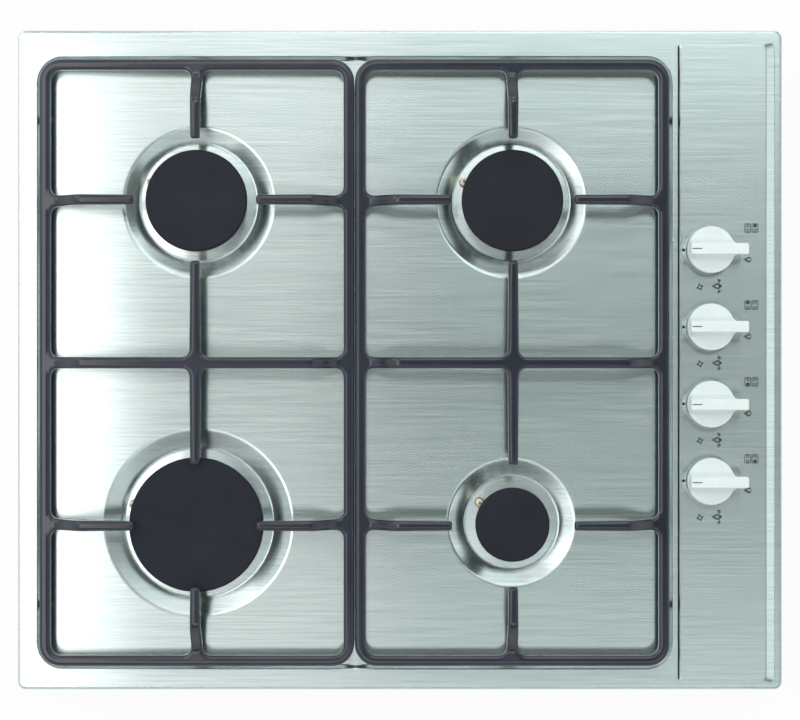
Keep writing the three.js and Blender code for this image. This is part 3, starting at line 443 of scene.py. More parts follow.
class Look:
    """A procedural material in the making."""

    def __init__(self, name, **constants):
        self.material = bpy.data.materials.new(name)
        self.material.use_nodes = True
        self.tree = self.material.node_tree
        self.surface = self.tree.nodes["Principled BSDF"]
        for socket, value in constants.items():
            self.surface.inputs[socket.replace("_", " ")].default_value = value
        self.place = self.node("ShaderNodeTexCoord").outputs["Object"]

    def node(self, kind, inputs=(), **settings):
        return add_node(self.tree, kind, inputs, **settings)

    def link(self, output, socket):
        self.tree.links.new(output, self.surface.inputs[socket])

    def noise(self, scale, stretch=(1, 1, 1), detail=3.0, roughness=0.5):
        mapping = self.node("ShaderNodeMapping", {"Vector": self.place, "Scale": stretch})
        inputs = {
            "Vector": mapping.outputs["Vector"],
            "Scale": scale,
            "Detail": detail,
            "Roughness": roughness,
        }
        return self.node("ShaderNodeTexNoise", inputs).outputs["Fac"]

    def cells(self, scale):
        made = self.node("ShaderNodeTexVoronoi", {"Vector": self.place, "Scale": scale})
        return made.outputs["Color"]

    def ramp(self, factor, start, end, low=0.35, high=0.65):
        """A colour that goes from start to end as the factor goes from low to high."""
        made = self.node("ShaderNodeValToRGB", {"Fac": factor})
        made.color_ramp.elements[0].position = low
        made.color_ramp.elements[0].color = start
        made.color_ramp.elements[1].position = high
        made.color_ramp.elements[1].color = end
        return made.outputs["Color"]

    def span(self, factor, low, high, start=0.3, end=0.7):
        """A value that goes from low to high as the factor goes from start to end."""
        inputs = map_range(factor, start, end, low, high)
        return self.node("ShaderNodeMapRange", inputs).outputs["Result"]

    def combined(self, operation, first, second):
        return self.node("ShaderNodeMath", {0: first, 1: second}, operation=operation).outputs[0]

    def laid_over(self, first, second, share):
        """Two patterns together, the second with the given share."""
        scaled = self.combined("MULTIPLY", second, share)
        rest = self.combined("MULTIPLY", first, 1 - share)
        return self.combined("ADD", rest, scaled)

    def bump(self, height, strength, distance):
        inputs = {"Height": height, "Strength": strength, "Distance": distance * MM}
        self.link(self.node("ShaderNodeBump", inputs).outputs["Normal"], "Normal")


def mottled(name, colours, roughness, scale, bump, **constants):
    """A material mottled between two colours and two roughnesses, with a fine bump."""
    finer = 2.5
    look = Look(name, **constants)
    pattern = look.noise(scale, detail=4.0)
    look.link(look.ramp(pattern, *colours), "Base Color")
    look.link(look.span(pattern, *roughness), "Roughness")
    look.bump(look.noise(scale * finer, detail=2.0), *bump)
    return look.material


def brushed_steel():
    """Stainless sheet with fine scratches along its width."""
    look = Look("brushed_steel", Metallic=1.0, Anisotropic=0.94)
    fine = look.noise(1.0, stretch=(15, 780, 15), detail=2.0, roughness=0.6)
    broad = look.noise(1.0, stretch=(4, 300, 4), detail=2.0)
    streaks = look.laid_over(fine, broad, share=0.12)
    look.link(look.ramp(streaks, srgb(188, 208, 206), srgb(204, 221, 219)), "Base Color")
    look.link(look.span(streaks, 0.223, 0.233), "Roughness")
    facing = look.node("ShaderNodeNewGeometry").outputs["Normal"]
    # The slight tilt keeps the tangent defined on walls that face along the scratches
    scratch = look.node("ShaderNodeCombineXYZ", {"X": 1.0, "Z": 0.1}).outputs["Vector"]
    across = look.node("ShaderNodeVectorMath", {0: facing, 1: scratch}, operation="CROSS_PRODUCT")
    look.link(across.outputs["Vector"], "Tangent")
    return look.material


def spangled_steel():
    """Galvanised sheet with the pale patches of its zinc."""
    look = Look("galvanised_steel", Metallic=1.0)
    patches = look.cells(90.0)
    grain = look.node("ShaderNodeSeparateColor", {"Color": patches}).outputs["Red"]
    colour = look.ramp(grain, srgb(158, 163, 166), srgb(190, 195, 197), low=0.1, high=0.9)
    look.link(colour, "Base Color")
    look.link(look.span(grain, 0.38, 0.55, start=0.0, end=1.0), "Roughness")
    look.bump(look.noise(700.0), strength=0.12, distance=0.05)
    return look.material


def cast_enamel():
    """Black vitreous enamel over cast iron: satin, with a slight orange peel."""
    look = Look("cast_enamel", Coat_Weight=0.8, Coat_Roughness=0.12, Specular_IOR_Level=0.3)
    peel = look.noise(330.0, detail=3.0)
    drift = look.noise(22.0, detail=2.0)
    look.link(look.ramp(drift, srgb(18, 28, 41), srgb(27, 38, 52)), "Base Color")
    look.link(look.span(peel, 0.38, 0.52), "Roughness")
    look.bump(peel, strength=0.2, distance=0.08)
    return look.material


def cap_enamel():
    """Matte blue-black enamel of the burner caps."""
    look = Look("cap_enamel", Specular_IOR_Level=0.35)
    grain = look.noise(900.0, detail=2.0)
    drift = look.noise(30.0, detail=2.0)
    look.link(look.ramp(drift, srgb(10, 18, 31), srgb(15, 24, 37)), "Base Color")
    look.link(look.span(grain, 0.55, 0.68), "Roughness")
    look.bump(grain, strength=0.25, distance=0.05)
    return look.material


STEEL = brushed_steel()
GALVANISED = spangled_steel()
ENAMEL = cast_enamel()
CAP_BLACK = cap_enamel()
ALUMINIUM = mottled(
    "cast_aluminium", (srgb(158, 160, 162), srgb(186, 188, 190)),
    roughness=(0.42, 0.58), scale=260.0, bump=(0.3, 0.08), Metallic=1.0)
TUBE_ALUMINIUM = mottled(
    "drawn_aluminium", (srgb(172, 174, 176), srgb(192, 194, 196)),
    roughness=(0.3, 0.4), scale=120.0, bump=(0.1, 0.03), Metallic=1.0)
BRASS = mottled(
    "machined_brass", (srgb(186, 150, 84), srgb(206, 172, 104)),
    roughness=(0.28, 0.4), scale=300.0, bump=(0.12, 0.03), Metallic=1.0)
CERAMIC = mottled(
    "ceramic", (srgb(222, 212, 186), srgb(234, 226, 204)),
    roughness=(0.22, 0.32), scale=180.0, bump=(0.05, 0.02))
SPARK_PIN = mottled(
    "spark_pin", (srgb(120, 104, 86), srgb(146, 134, 120)),
    roughness=(0.35, 0.5), scale=400.0, bump=(0.15, 0.03), Metallic=1.0)
# Black rubber of the feet; the same material paints the shade strip at the panel's left foot
RUBBER_AND_PAINTED_SHADE = mottled(
    "rubber", (srgb(22, 22, 23), srgb(32, 32, 33)),
    roughness=(0.75, 0.9), scale=500.0, bump=(0.3, 0.06))
FOAM = mottled(
    "foam", (srgb(62, 63, 65), srgb(82, 83, 85)),
    roughness=(0.85, 0.95), scale=900.0, bump=(0.6, 0.25))
KNOB_PLASTIC = mottled(
    "knob_plastic", (srgb(226, 237, 236), srgb(231, 242, 240)),
    roughness=(0.34, 0.42), scale=60.0, bump=(0.08, 0.02), Subsurface_Weight=0.05)
PALE_PLASTIC = mottled(
    "pale_plastic", (srgb(206, 206, 200), srgb(222, 222, 216)),
    roughness=(0.5, 0.6), scale=200.0, bump=(0.2, 0.04))
DARK_PLASTIC = mottled(
    "dark_plastic", (srgb(34, 35, 37), srgb(46, 47, 49)),
    roughness=(0.5, 0.62), scale=300.0, bump=(0.25, 0.05))
PRINT_BLACK = mottled(
    "print_black", (srgb(24, 38, 36), srgb(32, 46, 44)),
    roughness=(0.5, 0.6), scale=400.0, bump=(0.05, 0.01))
PRINT_GREY = mottled(
    "print_grey", (srgb(70, 86, 82), srgb(82, 98, 94)),
    roughness=(0.5, 0.6), scale=400.0, bump=(0.05, 0.01))


def dress(piece, material, slot, body, *nodes):
    """Gives a piece its material, the body it rides on and the nodes it stands for. The slot is not used.
    """
    piece.data.materials.append(material)
    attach(piece, body)
    if nodes:
        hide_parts(*nodes)


# ---------- Hob top ----------


def hob_outline(inset, z):
    low = (-HOB_HALF_X, -HOB_HALF_Y)
    high = (HOB_HALF_X, HOB_HALF_Y)
    return inset_outline(low, high, HOB_CORNER, inset, z)


def recess_outline(inset, z):
    return inset_outline(RECESS_LOW, RECESS_HIGH, RECESS_CORNER, inset, z)


def panel_outline(share, z):
    """The panel's edge at a share of the way up its step and bevel."""
    low = (PANEL_LOW[0] + PANEL_STEP * share, PANEL_LOW[1] + PANEL_END * share)
    high = (PANEL_HIGH[0] - PANEL_BEVEL * share, PANEL_HIGH[1] - PANEL_END * share)
    return outline(low, high, PANEL_CORNER, z)


def burner_sizes(name):
    kind = BURNER_KINDS[BURNERS[name]["kind"]]
    centre = centre_of(f"burner_cap_{name}")
    return {
        **kind,
        "x": centre.x,
        "y": centre.y,
        "inner": kind["cap"] + kind["flat"],
        "outer": kind["cap"] + kind["flat"] + kind["slope"],
        "hole": kind["cap"] - COLLAR_INSET + HOLE_GAP,
    }


def spark_place(name):
    sizes = burner_sizes(name)
    angle = math.radians(BURNERS[name]["spark"])
    reach = sizes["cap"] + SPARK_OUT
    return sizes["x"] + reach * math.cos(angle), sizes["y"] + reach * math.sin(angle)


def edge_rings(skin):
    """The sheet's outer edge, from its upper face down to the return flange."""
    end = (RETURN_FLANGE, FLANGE_Z)
    profile = rounded(
        [(LEAD_IN, RIM_Z), (0.0, RIM_Z), (0.0, FLANGE_Z), end], (EDGE_BEND, FLANGE_BEND), steps=6)
    profile.append(Vector(end))
    return skin.rings([hob_outline(inset, z) for inset, z in profile])


def recess_rings(skin):
    profile = rounded(
        [(-LEAD_IN, RIM_Z), (0.0, RIM_Z), (RECESS_SLOPE, RECESS_Z), (RECESS_SLOPE + LEAD_IN, RECESS_Z)],
        (RECESS_TOP_BEND, RECESS_FOOT_BEND))
    return skin.rings([recess_outline(inset, z) for inset, z in profile])


def panel_rings(skin):
    foot = (PANEL_FOOT_SHARE, RIM_Z + PANEL_FOOT)
    profile = rounded(
        [(-1.0, RIM_Z), (0.0, RIM_Z), foot, (1.0, PANEL_Z), (2.0, PANEL_Z)], PANEL_BENDS)
    return skin.rings([panel_outline(share, z) for share, z in profile])


def dish_rings(skin, name):
    sizes = burner_sizes(name)
    lip = (sizes["hole"], DISH_Z + DISH_RISE)
    profile = rounded(
        [(sizes["outer"] + LEAD_IN, RECESS_Z), (sizes["outer"], RECESS_Z), (sizes["inner"], DISH_Z), lip],
        (DISH_TOP_BEND, DISH_FOOT_BEND))
    profile.append(Vector(lip))
    return skin.rings([circle(sizes["x"], sizes["y"], radius, z) for radius, z in profile])


def spindle_hole(skin, name):
    centre = centre_of(f"tap_plug_{name}")
    return skin.ring(circle(centre.x, centre.y, SPINDLE_HOLE, PANEL_Z, HOLE_STEPS))


def make_hob_top():
    skin = Skin()
    edge = edge_rings(skin)
    recess = recess_rings(skin)
    panel = panel_rings(skin)
    skin.fill(edge[0], recess[0], panel[0])
    dishes = [dish_rings(skin, name) for name in BURNERS]
    skin.fill(recess[-1], *[rings[0] for rings in dishes])
    skin.fill(panel[-1], *[spindle_hole(skin, name) for name in BURNERS])
    hob = skin.piece("hob_sheet")
    if sum(face.normal.z * face.area for face in hob.data.polygons) < 0:
        hob.data.flip_normals()
    thick = hob.modifiers.new("thickness", "SOLIDIFY")
    thick.thickness = SHEET * MM
    thick.offset = -1.0
    drills = Skin()
    for name in BURNERS:
        place = spark_place(name)
        radius = CERAMIC_RADIUS + SPARK_HOLE_GAP
        drills.tube([circle(*place, radius, z, PIN_STEPS) for z in SPARK_DRILL_Z])
    combine(hob, drills.piece("spark_drills"), "DIFFERENCE", self_crossing=False)
    shade(hob, angle=50)
    dress(hob, STEEL, "hob_steel", "root", "hob_top")


def make_painted_shade_line():
    """A thin black strip of painted shade at the foot of the panel's raised left edge, where the step
    casts shade.
    """
    low = (PANEL_LOW[0] - SHADE_LINE_WIDTH, PANEL_LOW[1] + SHADE_LINE_END)
    high = (PANEL_LOW[0] + SHADE_LINE_LAP, PANEL_HIGH[1] - SHADE_LINE_END)
    corner = SHADE_LINE_WIDTH / 2
    shade_line_skin = Skin()
    shade_line_skin.tube([
        outline(low, high, corner, RIM_Z - SHADE_LINE_SUNK, SMALL_CORNER_STEPS),
        outline(low, high, corner, RIM_Z + SHADE_LINE_PROUD * SHADE_LINE_SHOULDER, SMALL_CORNER_STEPS),
        inset_outline(low, high, corner, SHADE_LINE_CROWN_INSET, RIM_Z + SHADE_LINE_PROUD),
    ])
    line = shade_line_skin.piece("panel_painted_shade_line")
    shade(line, angle=50)
    # The black rubber material paints the step's shade on this strip
    dress(line, RUBBER_AND_PAINTED_SHADE, "foot_rubber", "root")


# ---------- Pan supports ----------


def bar_section(width, low, top):
    """Points round a bar's section: offset across it and height."""
    half = width / 2
    crown = min(BAR_CROWN, (top - low) / 2, half)
    corners = [(0.0, low), (half, low), (half, top), (-half, top), (-half, low), (0.0, low)]
    return rounded(corners, (BAR_FOOT, crown, crown, BAR_FOOT), steps=3)


def ease(share):
    """A smooth step from 0 to 1."""
    held = min(max(share, 0.0), 1.0)
    return held * held * (3 - 2 * held)


def climbing(distance):
    """Lowest and highest level of a finger that climbs from the frame to pan height."""
    top = ease((distance - ROOT_FILLET / 2) / FINGER_RISE)
    low = ease((distance - ROOT_FILLET) / FINGER_RISE)
    return (
        BAR_LOW_Z + (FINGER_LOW_Z - BAR_LOW_Z) * low,
        BAR_TOP_Z + (PAN_Z - BAR_TOP_Z) * top,
    )


def level(distance):
    """Lowest and highest level of a finger that stays at pan height."""
    return FINGER_LOW_Z, PAN_Z


def fillet(distance):
    """How far a finger's root flares out on each side, by its distance from the bar."""
    left = ROOT_FILLET - distance
    return ROOT_FILLET - math.sqrt(ROOT_FILLET ** 2 - left ** 2) if left > 0 else 0.0


def root_distances():
    """Distances from a bar's centre line at which a root's flare and climb are drawn."""
    half = BAR_WIDTH / 2
    flare = [half + ROOT_FILLET * (i / FLARE_STEPS) ** FLARE_POWER for i in range(FLARE_STEPS + 1)]
    climb = [half + ROOT_FILLET + FINGER_RISE * (i + 1) / CLIMB_STEPS for i in range(CLIMB_STEPS)]
    return [0.0, *flare, *climb]


def station(distance, width, levels):
    """A section's distance, its width with the root's flare, and its lowest and highest level."""
    gone = max(distance - BAR_WIDTH / 2, 0.0)
    flare = 2 * fillet(gone) if distance > 0 else 0.0
    return (distance, width + flare, *levels(gone))


def finger(skin, start, direction, length, levels):
    """One finger from its bar's centre line to its rounded tip."""
    distances = [distance for distance in root_distances() if distance < length - TIP_CLEAR]
    stations = []
    for distance in [*distances, length - TIP_START]:
        width = FINGER_ROOT + (FINGER_TIP - FINGER_ROOT) * distance / length
        stations.append(station(distance, width, levels))
    end_low, end_top = levels(length)
    for inset, drawn in TIP_ROUNDING:
        width = FINGER_TIP - 2 * drawn * TIP_SIDE_SHARE
        stations.append((length - inset, width, end_low + drawn * TIP_SIDE_SHARE, end_top - drawn))
    across = (-direction[1], direction[0])
    loops = []
    for distance, width, low, top in stations:
        x = start[0] + direction[0] * distance
        y = start[1] + direction[1] * distance
        section = bar_section(width, low, top)
        loops.append([(x + across[0] * offset, y + across[1] * offset, z) for offset, z in section])
    skin.tube(loops)


def cross_bar(skin, start, length):
    """The bar across the middle, which climbs from the frame at both ends."""
    stations = [station(distance, FINGER_ROOT, climbing) for distance in root_distances()]
    stations += [(length - distance, *rest) for distance, *rest in reversed(stations)]
    skin.tube([
        [(start[0] + distance, start[1] + offset, z) for offset, z in bar_section(width, low, top)]
        for distance, width, low, top in stations
    ])


def support_fingers(skin, side, centre, span_x, span_y):
    """The four fingers round each of a support's two burners."""
    for row, sign in (("rear", 1), ("front", -1)):
        burner_y = centre_of(f"burner_cap_{row}_{side}").y
        reach = abs(burner_y - centre.y)
        side_length = span_x - FINGER_TIP_RADIUS
        finger(skin, (centre.x - span_x, burner_y), (1, 0), side_length, climbing)
        finger(skin, (centre.x + span_x, burner_y), (-1, 0), side_length, climbing)
        end_length = span_y - reach - FINGER_TIP_RADIUS
        finger(skin, (centre.x, centre.y + sign * span_y), (0, -sign), end_length, climbing)
        finger(skin, (centre.x, centre.y), (0, sign), reach - FINGER_TIP_RADIUS, level)


def cast(support):
    """Joins a support's bars into one casting with soft edges."""
    remesh = support.modifiers.new("cast", "REMESH")
    remesh.mode = "VOXEL"
    remesh.voxel_size = CASTING_VOXEL * MM
    smooth = support.modifiers.new("soften", "SMOOTH")
    smooth.factor = 0.5
    smooth.iterations = 3
    settle(support)
    support.data.shade_smooth()


def make_support(side):
    node = f"pan_support_{side}"
    low, high = (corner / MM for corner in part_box(node))
    centre = (low + high) / 2
    span_x = (high.x - low.x - BAR_WIDTH) / 2
    span_y = (high.y - low.y - BAR_WIDTH) / 2
    skin = Skin()
    skin.hoop([
        inset_outline((low.x, low.y), (high.x, high.y), SUPPORT_CORNER, BAR_WIDTH / 2 + offset, z)
        for offset, z in bar_section(BAR_WIDTH, BAR_LOW_Z, BAR_TOP_Z)
    ])
    cross_bar(skin, (centre.x - span_x, centre.y), 2 * span_x)
    support_fingers(skin, side, centre, span_x, span_y)
    support = skin.piece(f"support_casting_{side}")
    cast(support)
    dress(support, ENAMEL, "support_enamel", f"support_{side}", node)
    for number in range(1, FEET + 1):
        make_foot(side, number)


def make_foot(side, number):
    node = f"support_foot_{side}_{number}"
    profile = rounded([
        (0.0, FOOT_LOW_Z), (FOOT_LOW_RADIUS, FOOT_LOW_Z),
        (FOOT_TOP_RADIUS, FOOT_TOP_Z), (0.0, FOOT_TOP_Z),
    ], FOOT_BENDS)
    foot = turned(f"rubber_foot_{side}_{number}", centre_of(node), profile, MINOR_STEPS)
    shade(foot, angle=60)
    dress(foot, RUBBER_AND_PAINTED_SHADE, "foot_rubber", f"support_{side}", node)


# ---------- Burners ----------


def make_cap(name):
    sizes = burner_sizes(name)
    edge = sizes["cap"]
    chamber = edge - CROWN_INSET - CROWN_WALL
    spigot = chamber * math.cos(math.pi / CHAMBER_SIDES) - SPIGOT_GAP
    bore = spigot - SPIGOT_WALL
    spigot_low = CAP_LOW_Z - SPIGOT_DEPTH
    spigot_bends = [SPIGOT_BEND] * 4
    profile = rounded([
        (0.0, CAP_LOW_Z), (bore, CAP_LOW_Z), (bore, spigot_low), (spigot, spigot_low),
        (spigot, CAP_LOW_Z), (edge, CAP_LOW_Z), (edge, CAP_TOP_Z), (0.0, CAP_TOP_Z),
    ], (*spigot_bends, CAP_EDGE_LOW_BEND, CAP_EDGE_TOP_BEND))
    cap = turned(f"cap_{name}", (sizes["x"], sizes["y"]), profile)
    shade(cap, angle=45)
    dress(cap, CAP_BLACK, "cap_enamel", f"cap_{name}", f"burner_cap_{name}")


def cut_ports(head, name, sizes, inner, outer):
    """Cuts the flame ports between two radii into a burner head's crown."""
    origin = Vector((sizes["x"], sizes["y"], 0))
    low = Vector((0, 0, CROWN_TOP_Z - PORT_DEPTH))
    high = Vector((0, 0, CROWN_TOP_Z + PORT_OVERCUT))
    slots = Skin()
    for i in range(sizes["ports"]):
        angle = 2 * math.pi * (i + 0.5) / sizes["ports"]
        out = Vector((math.cos(angle), math.sin(angle), 0))
        wide = Vector((-out.y, out.x, 0)) * PORT_WIDTH / 2
        loops = []
        for reach in (inner - PORT_OVERCUT, outer + PORT_OVERCUT):
            foot = origin + out * reach
            loops.append([foot + wide + low, foot + wide + high, foot - wide + high, foot - wide + low])
        slots.tube(loops)
    combine(head, slots.piece(f"slots_{name}"), "DIFFERENCE")


def make_head(name):
    sizes = burner_sizes(name)
    low, high = (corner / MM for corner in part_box(f"burner_head_{name}"))
    crown = sizes["cap"] - CROWN_INSET
    chamber = crown - CROWN_WALL
    floor = CROWN_LOW_Z + CROWN_FLOOR
    skirt = sizes["cap"] - COLLAR_INSET - COLLAR_WALL - RUNNING_GAP
    skirt_low = CROWN_LOW_Z - SKIRT_DEPTH
    throat = CROWN_LOW_Z + VENTURI_RISE
    profile = [
        (VENTURI_BORE, low.z), (VENTURI_RADIUS, low.z), (VENTURI_RADIUS, skirt_low),
        (skirt, skirt_low), (skirt, CROWN_LOW_Z), (crown - CROWN_BEVEL, CROWN_LOW_Z),
        (crown, CROWN_LOW_Z + CROWN_BEVEL), (crown, CROWN_TOP_Z), (chamber, CROWN_TOP_Z),
        (chamber, floor), (VENTURI_RADIUS, floor), (VENTURI_RADIUS, throat), (VENTURI_BORE, throat),
    ]
    steps = sizes["ports"] * PORT_STEPS
    head = turned_hollow(f"head_{name}", (sizes["x"], sizes["y"]), profile, steps)
    cut_ports(head, name, sizes, chamber, crown)
    shade(head, angle=30)
    dress(head, ALUMINIUM, "burner_aluminium", f"head_{name}", f"burner_head_{name}")


def make_electrode(name):
    place = spark_place(name)
    ceramic = turned(f"electrode_{name}", place, rounded([
        (0.0, CERAMIC_LOW_Z), (CERAMIC_RADIUS, CERAMIC_LOW_Z), (CERAMIC_RADIUS, CERAMIC_TOP_Z),
        (PIN_RADIUS + PIN_SEAT, CERAMIC_TOP_Z), (0.0, CERAMIC_TOP_Z),
    ], CERAMIC_BENDS), HOLE_STEPS)
    shade(ceramic, angle=50)
    dress(ceramic, CERAMIC, "electrode_ceramic", "root", f"spark_electrode_{name}")
    neck = CERAMIC_TOP_Z - PIN_SUNK
    pin = turned(f"electrode_pin_{name}", place, rounded([
        (0.0, neck), (PIN_RADIUS, neck), (PIN_RADIUS, PIN_TOP_Z), (0.0, PIN_TOP_Z),
    ], PIN_BENDS), PIN_STEPS)
    shade(pin, angle=50)
    dress(pin, SPARK_PIN, "electrode_ceramic", "root")
    gasket_profile = [(CERAMIC_RADIUS + beyond, z) for beyond, z in GASKET_PROFILE]
    gasket = turned_hollow(f"electrode_gasket_{name}", place, gasket_profile, MINOR_STEPS)
    shade(gasket, angle=30)
    dress(gasket, SPARK_PIN, "electrode_ceramic", "root")


# ---------- Knobs ----------


def ridge_loop(width, radius, z, steps=8):
    """A strip across the knob's disc with round ends, at one height."""
    points = []
    for sign in (1, -1):
        for i in range(steps + 1):
            y = sign * width * (i / steps - 0.5)
            points.append((sign * math.sqrt(radius ** 2 - y ** 2), y, z))
    return points


def knob_disc():
    inner = KNOB_RADIUS - KNOB_WALL
    ceiling = KNOB_DISC_Z - KNOB_WALL
    stem_low = KNOB_LOW_Z - KNOB_STEM_BELOW
    profile = rounded([
        (0.0, stem_low), (KNOB_STEM, stem_low), (KNOB_STEM, ceiling), (inner, ceiling),
        (inner, KNOB_LOW_Z), (KNOB_RADIUS, KNOB_LOW_Z), (KNOB_RADIUS, KNOB_DISC_Z), (0.0, KNOB_DISC_Z),
    ], (*[KNOB_BEND] * 5, KNOB_EDGE_BEND))
    return turned("knob_shape", (0.0, 0.0), profile, KNOB_STEPS)


def knob_ridge(reach):
    ridge = Skin()
    ridge.tube([ridge_loop(width, reach - drawn, z) for width, drawn, z in RIDGE_LEVELS])
    return ridge.piece("knob_ridge")


def knob_bar(left, right):
    """The grip bar between two places across the knob, with rounded ends."""
    half = GRIP_WIDTH / 2
    half_height = GRIP_TIP_HEIGHT / 2
    low = KNOB_TOP_Z - GRIP_TIP_HEIGHT
    middle = KNOB_TOP_Z - half_height
    section = rounded([
        (0.0, low), (half, low), (half, KNOB_TOP_Z), (-half, KNOB_TOP_Z), (-half, low), (0.0, low),
    ], GRIP_BENDS)
    stations = [(left + inset, drawn) for inset, drawn in GRIP_END]
    stations += [(right - inset, drawn) for inset, drawn in reversed(GRIP_END)]
    loops = []
    for x, drawn in stations:
        shrink_y = 1 - drawn / half
        shrink_z = 1 - drawn / half_height
        loops.append([(x, y * shrink_y, middle + (z - middle) * shrink_z) for y, z in section])
    bar = Skin()
    bar.tube(loops)
    return bar.piece("knob_bar")


def knob_shape():
    """The knob about its own axis: a hollow disc, the ridge across it and the grip bar."""
    reach = KNOB_RADIUS - GRIP_INSET
    knob = knob_disc()
    combine(knob, knob_ridge(reach), "UNION", self_crossing=False)
    combine(knob, knob_bar(-reach, GRIP_REACH), "UNION", self_crossing=False)
    shape = knob.data
    bpy.data.objects.remove(knob)
    return shape


def make_knob(name, shape):
    centre = centre_of(f"tap_plug_{name}")
    data = shape.copy()
    data.transform(Matrix.Translation((centre.x * MM, centre.y * MM, 0)))
    knob = add_object(f"knob_body_{name}", data)
    shade(knob, angle=32)
    dress(knob, KNOB_PLASTIC, "knob_plastic", f"knob_{name}", f"knob_{name}")
    left = centre.x - KNOB_RADIUS + GRIP_INSET
    low = (left + POINTER_START, centre.y - POINTER_HALF)
    high = (left + POINTER_END, centre.y + POINTER_HALF)
    levels = (KNOB_TOP_Z - POINTER_SUNK, KNOB_TOP_Z + POINTER_PROUD)
    pointer = Skin()
    pointer.tube([outline(low, high, POINTER_CORNER, z, steps=3) for z in levels])
    mark = pointer.piece(f"knob_pointer_{name}")
    shade(mark, angle=40)
    dress(mark, PRINT_GREY, "knob_plastic", f"knob_{name}")


# ---------- Signs printed on the panel ----------

PRINT_LOW = PANEL_Z - PRINT_SUNK
PRINT_HIGH = PANEL_Z + PRINT_PROUD


def printed(skin, points):
    skin.tube([[(x, y, z) for x, y in points] for z in (PRINT_LOW, PRINT_HIGH)])


def printed_ring(skin, outer, inner):
    skin.hoop([
        [(x, y, PRINT_LOW) for x, y in outer],
        [(x, y, PRINT_HIGH) for x, y in outer],
        [(x, y, PRINT_HIGH) for x, y in inner],
        [(x, y, PRINT_LOW) for x, y in inner],
    ])


def round_points(x, y, radius, steps=28):
    return [(px, py) for px, py, _ in circle(x, y, radius, 0, steps)]


def star_points(x, y, outer, inner, tips=4):
    points = []
    for i in range(2 * tips):
        angle = math.radians(STAR_TURN) + i * math.pi / tips
        radius = inner if i % 2 else outer
        points.append((x + radius * math.cos(angle), y + radius * math.sin(angle)))
    return points


def flame_points(x, y, length, width, turn=180.0, steps=10):
    """A drop whose tip points along the turn."""
    angle = math.radians(turn)
    points = []
    for i in range(2 * steps):
        t = math.pi * i / steps
        along = length * (0.5 + 0.5 * math.cos(t)) - length * FLAME_MIDDLE
        belly = (0.5 - 0.5 * math.cos(t)) ** FLAME_POWER * FLAME_FULLNESS
        side = width / 2 * math.sin(t) * belly
        points.append((
            x + along * math.cos(angle) - side * math.sin(angle),
            y + along * math.sin(angle) + side * math.cos(angle),
        ))
    return points


def frame_points(x, y, width, height, radius):
    low = (x - width / 2, y - height / 2)
    high = (x + width / 2, y + height / 2)
    return [(px, py) for px, py, _ in outline(low, high, radius, 0, SMALL_CORNER_STEPS)]


def draw_star(grey, x, y):
    """The spark sign: a star with a hole."""
    x += STAR_PLACE[0]
    y += STAR_PLACE[1]
    printed_ring(grey, star_points(x, y, *STAR_RADII), star_points(x, y, STAR_HOLE, STAR_HOLE))


def draw_full_flame(black, grey, x, y):
    """The sign for full heat: a flame with a dark heart between two small ones."""
    flame_y = y + FULL_FLAME_PLACE[1]
    flame_x = x + FULL_FLAME_PLACE[0]
    outer = flame_points(flame_x, flame_y, *FULL_FLAME)
    inner = flame_points(flame_x + FLAME_HOLE_SHIFT, flame_y, *FULL_FLAME_HOLE)
    printed_ring(grey, outer, inner)
    printed(black, flame_points(x + FLAME_HEART_X, flame_y, *FLAME_HEART))
    for sign in (1, -1):
        side_y = flame_y + sign * SIDE_FLAME_APART
        turn = 180 - sign * SIDE_FLAME_TURN
        printed(grey, flame_points(x + SIDE_FLAME_X, side_y, *SIDE_FLAME, turn))


def draw_small_flame(grey, x, y):
    """The sign for low heat."""
    x += SMALL_FLAME_PLACE[0]
    y += SMALL_FLAME_PLACE[1]
    hole = flame_points(x + FLAME_HOLE_SHIFT, y, *SMALL_FLAME_HOLE)
    printed_ring(grey, flame_points(x, y, *SMALL_FLAME), hole)


def draw_plan(black, grey, x, y, burner):
    """The plan of the hob: four rings in two frames, the knob's own burner filled in."""
    row = 1 if burner.startswith("rear") else -1
    column = 1 if burner.endswith("right") else -1
    for side in (1, -1):
        middle = (x + PLAN_PLACE[0] + side * PLAN_COLUMN, y + PLAN_PLACE[1])
        hole = frame_points(*middle, *PLAN_FRAME_HOLE)
        printed_ring(grey, frame_points(*middle, *PLAN_FRAME), hole)
        for end in (1, -1):
            spot = (middle[0], middle[1] + end * PLAN_ROW)
            if side == column and end == row:
                printed(black, round_points(*spot, PLAN_SPOT))
            else:
                hole = round_points(*spot, PLAN_RING_HOLE)
                printed_ring(grey, round_points(*spot, PLAN_RING), hole)


def make_signs(name):
    centre = centre_of(f"tap_plug_{name}")
    x = centre.x - SIGNS_LEFT
    y = centre.y
    black = Skin()
    grey = Skin()
    printed(black, round_points(x + OFF_DOT_X, y, OFF_DOT_RADIUS))
    draw_star(grey, x, y)
    draw_full_flame(black, grey, x, y)
    draw_small_flame(grey, x, y)
    draw_plan(black, grey, x, y, name)
    for skin, colour, material in ((black, "black", PRINT_BLACK), (grey, "grey", PRINT_GREY)):
        dress(skin.piece(f"panel_sign_{colour}_{name}"), material, "dark_plastic", "root")


# ---------- CAD nodes that keep their shape ----------

